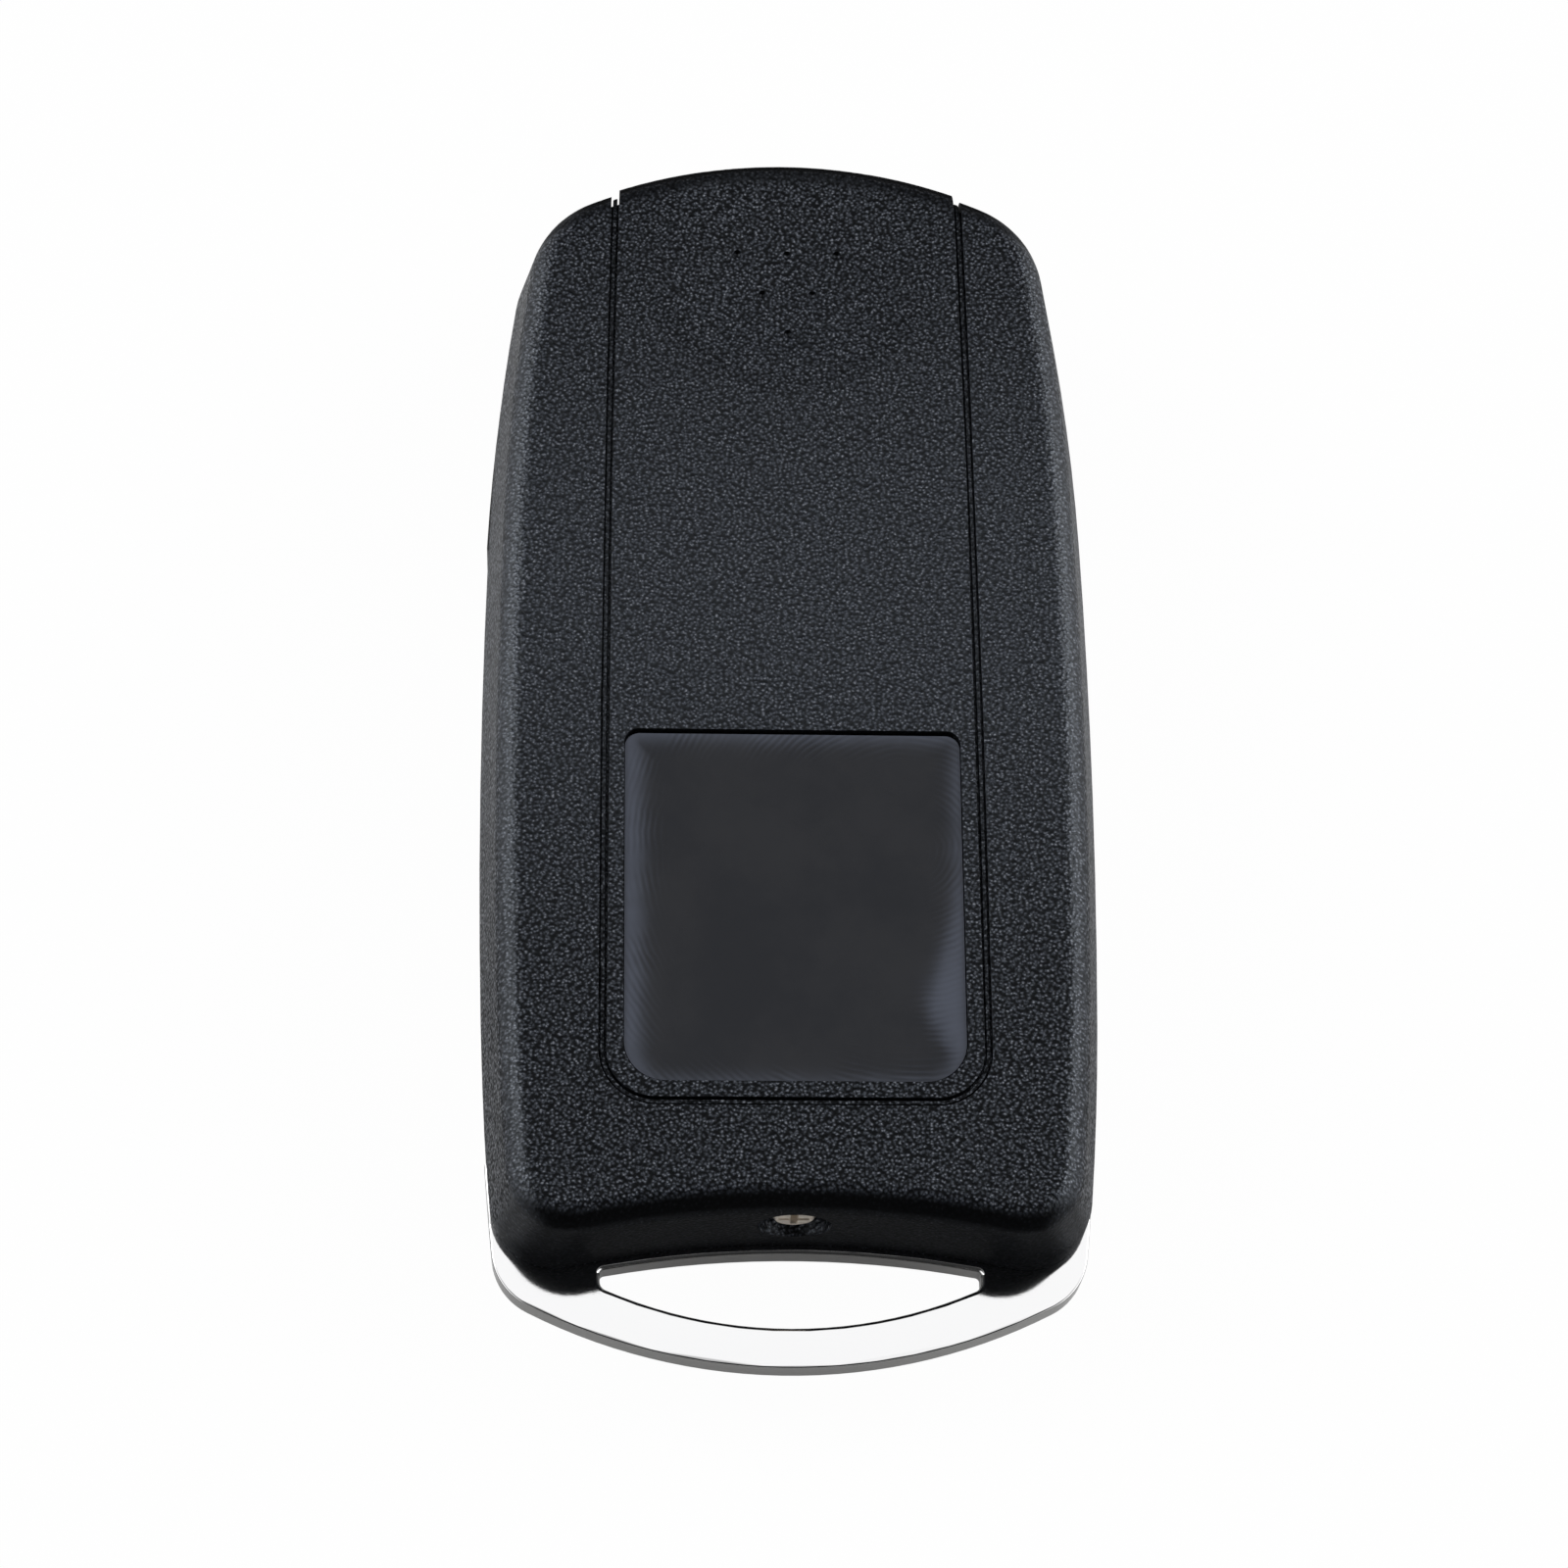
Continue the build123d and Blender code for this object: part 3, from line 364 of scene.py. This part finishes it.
# Bright plating of the key ring frame, its walls painted dark: a painted shade for the darker floor
# they reflect
platingLook = {
    "top": (0.9, 0.9, 0.905),
    "wall": (0.16, 0.158, 0.152),
    "topFacing": (0.3, 0.85),
    "roughness": 0.03,
    "scratchSize": 0.5 * mm,
    "scratchStretch": (1, 9, 1),
    "scratchRoughness": 0.06,
    "scratchDepth": 0.0005 * mm,
}


def plating(name, look):
    paint = Paint(name, Metallic=1.0)
    upward = abs(paint.facing("z"))
    lengthwise = paint.stretched(*look["scratchStretch"])
    scratches = paint.noise(look["scratchSize"], 3.0, 0.6, lengthwise)
    paint.give(
        # Walls painted dark and the top bright: painted shade on the walls
        Base_Color=paint.mix(upward.rise(*look["topFacing"]), look["wall"], look["top"]),
        Roughness=look["roughness"] + look["scratchRoughness"] * scratches,
    )
    paint.bump(scratches, look["scratchDepth"])
    return paint.material


# Small metal parts, each with its own colour, roughness and brushing
metalLook = {
    "strokeSize": 0.2 * mm,
    "cloudSize": 4 * mm,
    "shade": 0.72,
    "strokeShare": 0.6,
    "cloudShare": 0.4,
    "shadeRange": (0.25, 0.75),
    "strokeRoughness": 0.18,
}


def brushedMetal(name, colour, roughness, stretch, depth=0.004 * mm):
    look = metalLook
    paint = Paint(name, Metallic=1.0)
    strokes = paint.noise(look["strokeSize"], 3.0, 0.6, paint.stretched(*stretch))
    cloud = paint.noise(look["cloudSize"], 2.0)
    shade = tuple(part * look["shade"] for part in colour)
    shading = strokes * look["strokeShare"] + cloud * look["cloudShare"]
    paint.give(
        Base_Color=paint.mix(shading.rise(*look["shadeRange"]), shade, colour),
        Roughness=roughness + look["strokeRoughness"] * strokes,
    )
    paint.bump(strokes, depth)
    return paint.material


# Plain moulded parts, each with its own colour, roughness and grain
plasticLook = {
    "cloudSize": 5 * mm,
    "shade": 0.8,
    "shadeRange": (0.3, 0.7),
    "speckleRoughness": 0.12,
}


def mouldedPlastic(name, colour, roughness=0.4, grain=0.25 * mm, depth=0.006 * mm):
    look = plasticLook
    paint = Paint(name)
    speckle = paint.noise(grain, 3.0, 0.6)
    cloud = paint.noise(look["cloudSize"], 2.0)
    shade = tuple(part * look["shade"] for part in colour)
    paint.give(
        Base_Color=paint.mix(cloud.rise(*look["shadeRange"]), shade, colour),
        Roughness=roughness + look["speckleRoughness"] * speckle,
    )
    paint.bump(speckle, depth)
    return paint.material


shellMaterial = grainedPlastic("grained plastic", shellLook)
keyMaterial = mouldedPlastic("key cap plastic", (0.012, 0.013, 0.015), 0.5, 0.12 * mm, 0.004 * mm)
rubberMaterial = mouldedPlastic("pad rubber", (0.05, 0.05, 0.055), 0.7)
steelMaterial = brushedMetal("brushed blade steel", (0.62, 0.61, 0.59), 0.26, (6, 0.25, 6))
brightSteel = brushedMetal("bright steel", (0.7, 0.7, 0.69), 0.22, (1, 1, 1), 0.002 * mm)
brassMaterial = brushedMetal("screw brass", (0.86, 0.78, 0.68), 0.3, (1, 1, 1), 0.006 * mm)
copperMaterial = brushedMetal("copper wire", (0.75, 0.38, 0.22), 0.25, (0.3, 4, 4))
headMaterial = mouldedPlastic("head plastic", (0.006, 0.006, 0.007), 0.3, 0.2 * mm, 0.003 * mm)
chipMaterial = mouldedPlastic("chip plastic", (0.02, 0.02, 0.022), 0.55, 0.08 * mm, 0.003 * mm)
boardMaterial = mouldedPlastic("solder mask", (0.015, 0.16, 0.05), 0.28, 1 * mm, 0.01 * mm)
lampMaterial = mouldedPlastic("clear lamp", (0.5, 0.08, 0.06), 0.1)
ringMaterial = plating("bright plating", platingLook)
plateMaterial = glossPlate("gloss inlay", inlayLook)
markMaterial = mouldedPlastic("mark paint", (0.62, 0.62, 0.6), 0.45, 0.1 * mm, 0.003 * mm)

nodeFinish = {
    "rear_shell": shellMaterial,
    "front_shell": shellMaterial,
    "rear_inlay": plateMaterial,
    "key_ring_frame": ringMaterial,
    "end_screw": brassMaterial,
    "flip_head": headMaterial,
    "key_blade": steelMaterial,
    "blade_pin": brightSteel,
    "flip_spring": brightSteel,
    "release_button": ringMaterial,
    "lock_button": keyMaterial,
    "unlock_button": keyMaterial,
    "trunk_button": keyMaterial,
    "button_pad": rubberMaterial,
    "circuit_board": boardMaterial,
    "key_switches": brightSteel,
    "coin_cell": brightSteel,
    "battery_clip": brightSteel,
    "battery_contact": copperMaterial,
    "controller_chip": chipMaterial,
    "crystal": brightSteel,
    "chip_components": chipMaterial,
    "antenna": copperMaterial,
    "transponder_chip": chipMaterial,
    "indicator_led": lampMaterial,
    "light_pipe": lampMaterial,
}
for node, material in nodeFinish.items():
    slots = frame["nodes"][node].data.materials
    slots.clear()
    slots.append(material)
print("finishes set")

# Edges of the moulded parts, rounded as a mould leaves them: width and slot of each
softening = {
    "seam": 0.0005 * mm,
    "flatness": radians(0.5),
    "sharpAngle": radians(30),
    "segments": 2,
    "faceWeight": 100,
    "nodes": {
        "rear_shell": (0.06 * mm, "shell_plastic"),
        "front_shell": (0.06 * mm, "shell_plastic"),
        "key_ring_frame": (0.03 * mm, "bright_ring"),
        "flip_head": (0.1 * mm, "gloss_black"),
        "end_screw": (0.04 * mm, "screw_brass"),
        "key_blade": (0.05 * mm, "blade_steel"),
    },
}


def softened(node, width):
    # Merged copy of a solid: flats dissolved, edges over the sharp angle bevelled by width
    source = frame["nodes"][node]
    mesh = source.data.copy()
    piece = bpy.data.objects.new(node + "_soft", mesh)
    bpy.context.scene.collection.objects.link(piece)
    solid = bmesh.new()
    solid.from_mesh(mesh)
    bmesh.ops.remove_doubles(solid, verts=solid.verts, dist=softening["seam"])
    flatness = softening["flatness"]
    bmesh.ops.dissolve_limit(solid, angle_limit=flatness, verts=solid.verts, edges=solid.edges)
    for face in solid.faces:
        face.smooth = True
    solid.to_mesh(mesh)
    solid.free()
    mesh.set_sharp_from_angle(angle=softening["sharpAngle"])
    bevel = piece.modifiers.new("edges", "BEVEL")
    bevel.width = width
    bevel.segments = softening["segments"]
    bevel.limit_method = "ANGLE"
    bevel.angle_limit = softening["sharpAngle"]
    even = piece.modifiers.new("normals", "WEIGHTED_NORMAL")
    even.mode = "FACE_AREA"
    even.weight = softening["faceWeight"]
    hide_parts(node)
    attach(piece, source["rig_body"])


for node, (width, slot) in softening["nodes"].items():
    softened(node, width)
print("edges softened")


def tubeMesh(name, rings, sharpAngle=radians(35)):
    # Closed skin over rings of points, shape (rows, points, 3), with a pole over each end row
    rows, count = rings.shape[:2]
    here = np.arange(rows * count).reshape(rows, count)
    there = np.roll(here, -1, axis=1)
    quads = np.stack([here[:-1], there[:-1], there[1:], here[1:]], axis=-1).reshape(-1, 4)
    first = np.stack([there[0], here[0], np.full(count, rows * count)], axis=-1)
    last = np.stack([here[-1], there[-1], np.full(count, rows * count + 1)], axis=-1)
    points = np.concatenate([rings.reshape(-1, 3), rings[[0, -1]].mean(axis=1)])
    corners = points[quads]
    inside = np.einsum("ij,ij->i", corners[:, 0], np.cross(corners[:, 1], corners[:, 2]))
    inside = inside + np.einsum("ij,ij->i", corners[:, 0], np.cross(corners[:, 2], corners[:, 3]))
    faces = quads.tolist() + first.tolist() + last.tolist()
    if inside.sum() < 0:
        faces = [face[::-1] for face in faces]
    mesh = bpy.data.meshes.new(name)
    mesh.from_pydata(points.tolist(), [], faces)
    mesh.shade_smooth()
    mesh.set_sharp_from_angle(angle=sharpAngle)
    return mesh


def placePiece(name, mesh, material, body):
    mesh.materials.append(material)
    piece = bpy.data.objects.new(name, mesh)
    bpy.context.scene.collection.objects.link(piece)
    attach(piece, body)
    return piece


# Inlay plate: flat, with a border that falls a little to its edge
inlayShape = {
    "halfWidth": 10.32 * mm,
    "foot": -23.94 * mm,
    "head": -1.5 * mm,
    "footRadius": 2.5 * mm,
    "headRadius": 0.9 * mm,
    "leastRadius": 0.25 * mm,
    "arcPoints": 14,
    "sidePoints": 44,
    "low": 14.44 * mm,
    "top": 15.03 * mm,
    "borderSlope": 0.035,
    "borderLeft": 1.0 * mm,
    "borderHead": 0.35 * mm,
    "borderRight": 0.4 * mm,
    "borderLowRight": 2.2 * mm,
    "borderFoot": 0.0,
    "sideReach": 0.25,
    "headReach": 0.12,
    "swellPlace": 0.24,
    "swellReach": 0.17,
    "softness": 0.42 * mm,
    "insetStart": 0.03 * mm,
    "insetLimit": 4.4 * mm,
    "insetRings": 40,
    "innerRings": 7,
    "innerSize": 0.04,
}


def insetOutlines(shape, insets):
    # Rounded rectangle moved in by each inset: four arcs, each with the straight to the next
    sign = np.array([(1, -1), (1, 1), (-1, 1), (-1, -1)])
    radius = np.array([shape["footRadius"], shape["headRadius"]] * 2)[[0, 1, 3, 2]]
    radius = np.maximum(radius - insets[:, None], shape["leastRadius"])
    middle = (shape["foot"] + shape["head"]) / 2
    half = np.array([shape["halfWidth"], (shape["head"] - shape["foot"]) / 2])
    centre = sign * (half - insets[:, None, None] - radius[:, :, None]) + (0, middle)
    start = np.radians([-90, 0, 90, 180])
    angle = start[:, None] + np.linspace(0, pi / 2, shape["arcPoints"])
    spoke = np.stack([np.cos(angle), np.sin(angle)], axis=-1)
    arcs = centre[:, :, None, :] + radius[:, :, None, None] * spoke
    step = np.linspace(0, 1, shape["sidePoints"] + 2)[1:-1, None]
    following = np.roll(arcs, -1, axis=1)[:, :, :1]
    straights = arcs[:, :, -1:] * (1 - step) + following * step
    return np.concatenate([arcs, straights], axis=2).reshape(len(insets), -1, 2)


def domedInlay(shape):
    # Height = top - slope * softness * log(1 + exp((border - inset) / softness))
    sunk = np.linspace(shape["insetStart"], shape["insetLimit"], shape["insetRings"])
    insets = np.concatenate([[0, 0], sunk])
    flat = insetOutlines(shape, insets)
    edge = flat[0]
    across = edge[:, 0] / shape["halfWidth"]
    along = (edge[:, 1] - shape["foot"]) / (shape["head"] - shape["foot"])

    def near(value, reach):
        return np.clip(1 - value / reach, 0, 1) ** 2

    left = near(1 + across, shape["sideReach"]) * shape["borderLeft"]
    swell = np.exp(-(((along - shape["swellPlace"]) / shape["swellReach"]) ** 2))
    swell = swell * (shape["borderLowRight"] - shape["borderRight"])
    right = near(1 - across, shape["sideReach"]) * (shape["borderRight"] + swell)
    head = near(1 - along, shape["headReach"]) * shape["borderHead"]
    border = np.maximum.reduce([left, right, head, np.full(len(edge), shape["borderFoot"])])
    gap = (border[None, :] - insets[:, None]) / shape["softness"]
    fall = shape["borderSlope"] * shape["softness"] * np.logaddexp(0, gap)
    height = shape["top"] - fall
    height[0] = shape["low"]
    rings = np.concatenate([flat, height[:, :, None]], axis=2)
    centre = np.array([0, (shape["foot"] + shape["head"]) / 2, shape["top"]])
    shrink = np.linspace(1, shape["innerSize"], shape["innerRings"] + 1)[1:, None, None]
    inner = centre + (rings[-1] - centre) * shrink
    share = 1 / (1 + np.exp(-gap))
    share = np.concatenate([share.ravel(), np.zeros(inner.shape[0] * inner.shape[1] + 2)])
    return np.concatenate([rings, inner]), share


inlayRings, borderShare = domedInlay(inlayShape)
inlayMesh = tubeMesh("domed_inlay", inlayRings)
borderValues = inlayMesh.attributes.new("border", "FLOAT", "POINT")
borderValues.data.foreach_set("value", borderShare)
inlay = placePiece("domed_inlay", inlayMesh, plateMaterial, "housing")
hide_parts("rear_inlay")
print("inlay plate made")

# Bead in the middle of the panel groove: down both sides, round the foot corners and over the
# top end
beadShape = {
    "profile": (-1, -1, -0.7, 0.7, 1, 1),
    "width": 0.28 * mm,
    "sunk": 0.24 * mm,
    "foot": 0.67 * mm,
    "bevel": 0.05 * mm,
    "face": 15.2 * mm,
    "fillet": 1.8 * mm,
    "draft": radians(5),
    "crown": 38.59 * mm,
    "crownRadius": 31.5 * mm,
    "crownFall": 2 * mm,
    "half": 11.62 * mm,
    "narrowing": 0.85 * mm,
    "bowFoot": -11.75 * mm,
    "bowReach": 58.9 * mm,
    "footY": -25.25 * mm,
    "footRadius": 3.2 * mm,
    "openEnd": 8.85 * mm,
    "closedEnd": 6.05 * mm,
    "filletGap": 0.3 * mm,
    "wallRows": 4,
    "filletRows": 14,
    "bowRows": 40,
    "cornerRows": 13,
}


def beadSide(shape, endLevel):
    # Half of the bead, rows of six points: bow x = half - R + sqrt(R^2 - (y - bowFoot)^2)
    narrowing, bowReach = shape["narrowing"], shape["bowReach"]
    bowRadius = (narrowing**2 + bowReach**2) / (2 * narrowing)
    across = np.array(shape["profile"]) * shape["width"] / 2
    bevel = shape["sunk"] + shape["bevel"]
    depth = np.array([shape["foot"], bevel, shape["sunk"], shape["sunk"], bevel, shape["foot"]])

    def bowX(y):
        inward = bowRadius - np.sqrt(bowRadius**2 - (y - shape["bowFoot"]) ** 2)
        return shape["half"] - inward + across

    # Over the rounded top end, at a set depth below its crowned edge
    angle = (pi / 2 - shape["draft"]) * np.linspace(1, 0, shape["filletRows"])[:, None]
    radius = shape["fillet"] - depth
    away = shape["fillet"] * tan(pi / 4 - shape["draft"] / 2) - radius * np.sin(angle)
    x = bowX(shape["crown"] - away - shape["crownFall"])
    root = np.sqrt(shape["crownRadius"] ** 2 - x**2)
    y = shape["crown"] - shape["crownRadius"] + root - away * shape["crownRadius"] / root
    z = shape["face"] - shape["fillet"] + radius * np.cos(angle)
    fillet = np.stack([x, y, z], axis=-1)
    # Down the end wall
    fall = (z[:1] - endLevel) * np.linspace(1, 0, shape["wallRows"] + 1)[:-1, None]
    outward = y[:1] + fall * tan(shape["draft"])
    wall = np.stack(np.broadcast_arrays(x[:1], outward, z[:1] - fall), axis=-1)
    # Along the bowed side and round the corner
    along = np.linspace(y[-1].min() - shape["filletGap"], shape["bowFoot"], shape["bowRows"])
    along = along[:, None]
    level = shape["face"] - depth
    bow = np.stack(np.broadcast_arrays(bowX(along), along, level), axis=-1)
    turn = np.linspace(0, -pi / 2, shape["cornerRows"])[:, None]
    reach = shape["footRadius"] + across
    cornerX = shape["half"] - shape["footRadius"] + reach * np.cos(turn)
    cornerY = shape["footY"] + shape["footRadius"] + reach * np.sin(turn)
    corner = np.stack(np.broadcast_arrays(cornerX, cornerY, level), axis=-1)
    return np.concatenate([wall, fillet, bow, corner])


closedSide = beadSide(beadShape, beadShape["closedEnd"])
openSide = beadSide(beadShape, beadShape["openEnd"])[::-1] * (-1, 1, 1)
beadMesh = tubeMesh("groove_bead", np.concatenate([closedSide, openSide]))
placePiece("groove_bead", beadMesh, shellMaterial, "housing")
print("groove bead made")

# Marks on the keys: closed padlock, open padlock, car with its lid up, drawn in units of size
markShape = {
    "profile": (-0.5, -0.38, -0.15, 0.15, 0.38, 0.5),
    "mitre": 0.6,
    "width": 0.34 * mm,
    "face": 0.25 * mm,
    "proud": 0.04 * mm,
    "sunk": 0.04 * mm,
    "x": 2.5 * mm,
    "rows": {"lock_button": 10.3 * mm, "unlock_button": -1.2 * mm, "trunk_button": -12.7 * mm},
    "size": 1.35 * mm,
}


def arc(x, y, radius, start, end, count=17):
    angle = np.radians(np.linspace(start, end, count))
    return np.stack([x + radius * np.cos(angle), y + radius * np.sin(angle)], axis=-1)


def padlock(lift, turn):
    # Body outline with a shackle over it, lifted and moved aside on the open one
    corners = [(0.95, -1.15), (0.95, 0.15), (-0.95, 0.15), (-0.95, -1.15)]
    rounded = [
        arc(*corner, 0.2, 90 * number - 90, 90 * number, 5) for number, corner in enumerate(corners)
    ]
    body = np.concatenate([*rounded, [[0.95, -1.35]]])
    shackle = np.concatenate([[[0.7, 0.35]], arc(0, 0.75, 0.7, 0, 180), [[-0.7, 0.35 + lift]]])
    shackle = shackle + (turn, lift * 0.3)
    keyhole = np.array([(0, -0.75), (0, -0.3)])
    return [body, shackle, keyhole]


def carMark():
    outline = [(2.1, -0.5), (2.1, 0.05), (1.2, 0.3), (0.75, 0.85), (-0.55, 0.85), (-1.1, 0.25)]
    rear = [(-1.1, 0.25), (-1.95, 0.2), (-1.95, -0.5), (-1.6, -0.5)]
    lid = [(-1.1, 0.25), (-1.75, 1.15)]
    sill = [(-0.75, -0.5), (0.85, -0.5)]
    wheels = [arc(side, -0.5, 0.42, 0, 360, 21) for side in (-1.18, 1.28)]
    return [np.array(path, float) for path in (outline, rear, lid, sill)] + wheels


def strokeRings(path, centre, shape):
    # Low rounded profile of six points carried along a path, mitred at its corners
    step = np.diff(path, axis=0)
    step = step / np.linalg.norm(step, axis=1)[:, None]
    before = np.concatenate([step[:1], step])
    after = np.concatenate([step, step[-1:]])
    along = before + after
    along = along / np.linalg.norm(along, axis=1)[:, None]
    stretch = 1 / np.maximum((along * after).sum(axis=1), shape["mitre"])
    side = np.stack([-along[:, 1], along[:, 0]], axis=-1) * stretch[:, None]
    across = np.array(shape["profile"]) * shape["width"]
    rise = np.array([shape["sunk"], -0.6 * shape["proud"], -shape["proud"]])
    level = shape["face"] + np.concatenate([rise, rise[::-1]])
    flat = centre + shape["size"] * path[:, None, :] + side[:, None, :] * across[None, :, None]
    height = np.broadcast_to(level[None, :, None], (*flat.shape[:2], 1))
    return np.concatenate([flat, height], axis=2)


def keyMark(button, strokes):
    whole = bmesh.new()
    centre = (markShape["x"], markShape["rows"][button])
    for number, path in enumerate(strokes):
        part = tubeMesh(f"{button}_stroke{number}", strokeRings(path, centre, markShape))
        whole.from_mesh(part)
        bpy.data.meshes.remove(part)
    mesh = bpy.data.meshes.new(button + "_mark")
    whole.to_mesh(mesh)
    whole.free()
    placePiece(button + "_mark", mesh, markMaterial, button)


keyMark("lock_button", padlock(0, 0))
keyMark("unlock_button", padlock(0.45, -1.4))
keyMark("trunk_button", carMark())
print("key marks made")

# Floor, world and lamps
studio = {
    "white": (1.0, 1.0, 1.0),
    "floorHalf": 1.2,
    "floor": (0.86, 0.86, 0.86),
    "floorRoughness": 0.9,
    "floorGlow": 0.975,
    "floorMirror": 0.12,
    "overhead": 1.05,
    "bandFront": (-0.12, 0.28),
    "bandBack": (0.64, 0.4),
    "bandHeight": (0.2, 0.6),
    "left": 1.3,
    "leftSide": (-0.45, -0.85),
    "right": 1.6,
    "rightSide": (0.45, 0.85),
    "dim": 0.03,
    "boxDistance": 0.6,
    "boxes": {
        "leftBox": ((-0.84, 0.32, 0.68), (0.26, 0.42), 3.4),
        "rightBox": ((0.84, 0.32, 0.68), (0.26, 0.42), 3.1),
    },
}


def makeFloor():
    size = studio["floorHalf"]
    mesh = bpy.data.meshes.new("floor")
    corners = [(-size, -size, 0), (size, -size, 0), (size, size, 0), (-size, size, 0)]
    mesh.from_pydata(corners, [], [(0, 1, 2, 3)])
    floor = bpy.data.objects.new("floor", mesh)
    bpy.context.scene.collection.objects.link(floor)
    paint = Paint("floor", Base_Color=studio["floor"], Roughness=studio["floorRoughness"])
    glow = paint.node("ShaderNodeEmission", inputs=[studio["white"]])
    direct = paint.node("ShaderNodeLightPath", out="Is Camera Ray")
    through = paint.node("ShaderNodeLightPath", out="Is Transmission Ray")
    mirrored = paint.node("ShaderNodeLightPath", out="Is Glossy Ray")
    seen = (direct.most(through) * studio["floorGlow"]).most(mirrored * studio["floorMirror"])
    paint.blend(seen, glow)
    mesh.materials.append(paint.material)


def makeWorld():
    # White where it is seen; its light comes from a band overhead and from the sides
    world = bpy.data.worlds.new("studio")
    bpy.context.scene.world = world
    world.use_nodes = True
    paint = Nodes(world.node_tree, "Generated")
    along = paint.axis("y")
    across = paint.axis("x")
    band = along.rise(*studio["bandFront"]) * along.rise(*studio["bandBack"])
    band = band * studio["overhead"] * paint.axis("z").rise(*studio["bandHeight"])
    left = across.rise(*studio["leftSide"]) * studio["left"]
    right = across.rise(*studio["rightSide"]) * studio["right"]
    light = band.most(left).most(right).most(studio["dim"])
    camera = paint.node("ShaderNodeLightPath", out="Is Camera Ray")
    level = light + camera * (1.0 - light)
    background = paint.node("ShaderNodeBackground", inputs=[studio["white"], level])
    output = paint.tree.nodes.new("ShaderNodeOutputWorld")
    paint.feed(output.inputs["Surface"], background)


def softBox(name, direction, size, level):
    lamp = bpy.data.lights.new(name, "AREA")
    lamp.shape = "RECTANGLE"
    lamp.size, lamp.size_y = size
    lamp.energy = level * pi * size[0] * size[1]
    holder = bpy.data.objects.new(name, lamp)
    bpy.context.scene.collection.objects.link(holder)
    away = Vector(direction).normalized()
    holder.location = away * studio["boxDistance"]
    holder.rotation_euler = away.to_track_quat("Z", "Y").to_euler()


# Camera as fitted to the photograph: angles in degrees, scale in pixels to a millimetre
cameraView = {
    "tilt": 22,
    "turn": -2.92,
    "roll": -0.604,
    "distance": 290,
    "target": (0, -2.35 * mm, 9 * mm),
    "scale": 16.25,
    "aside": -3.7,
    "photoSize": 1600,
    "sensor": 36.0,
    "clipStart": 0.01,
}


def makeCamera(view):
    # Tilted towards the ring end, a little to the left and rolled, as the photograph was taken
    tilt, turn, roll = (radians(view[key]) for key in ("tilt", "turn", "roll"))
    back = Vector((sin(turn), -sin(tilt) * cos(turn), cos(tilt) * cos(turn)))
    right = (-back).cross(Vector((0, 1, 0))).normalized()
    above = right.cross(-back).normalized()
    across = right * cos(roll) + above * sin(roll)
    above = across.cross(-back).normalized()
    lens = bpy.data.cameras.new("camera")
    lens.sensor_width = view["sensor"]
    lens.lens = view["sensor"] * view["scale"] * view["distance"] / view["photoSize"]
    lens.clip_start = view["clipStart"]
    lens.shift_x = view["aside"] / view["photoSize"]
    camera = bpy.data.objects.new("camera", lens)
    bpy.context.scene.collection.objects.link(camera)
    place = Matrix.Translation(Vector(view["target"]) + back * view["distance"] * mm)
    camera.matrix_world = place @ Matrix((across, above, back)).transposed().to_4x4()
    bpy.context.scene.camera = camera


makeFloor()
makeWorld()
for name, (direction, size, level) in studio["boxes"].items():
    softBox(name, direction, size, level)
makeCamera(cameraView)
bpy.context.scene.view_settings.view_transform = "Standard"
print("studio set")
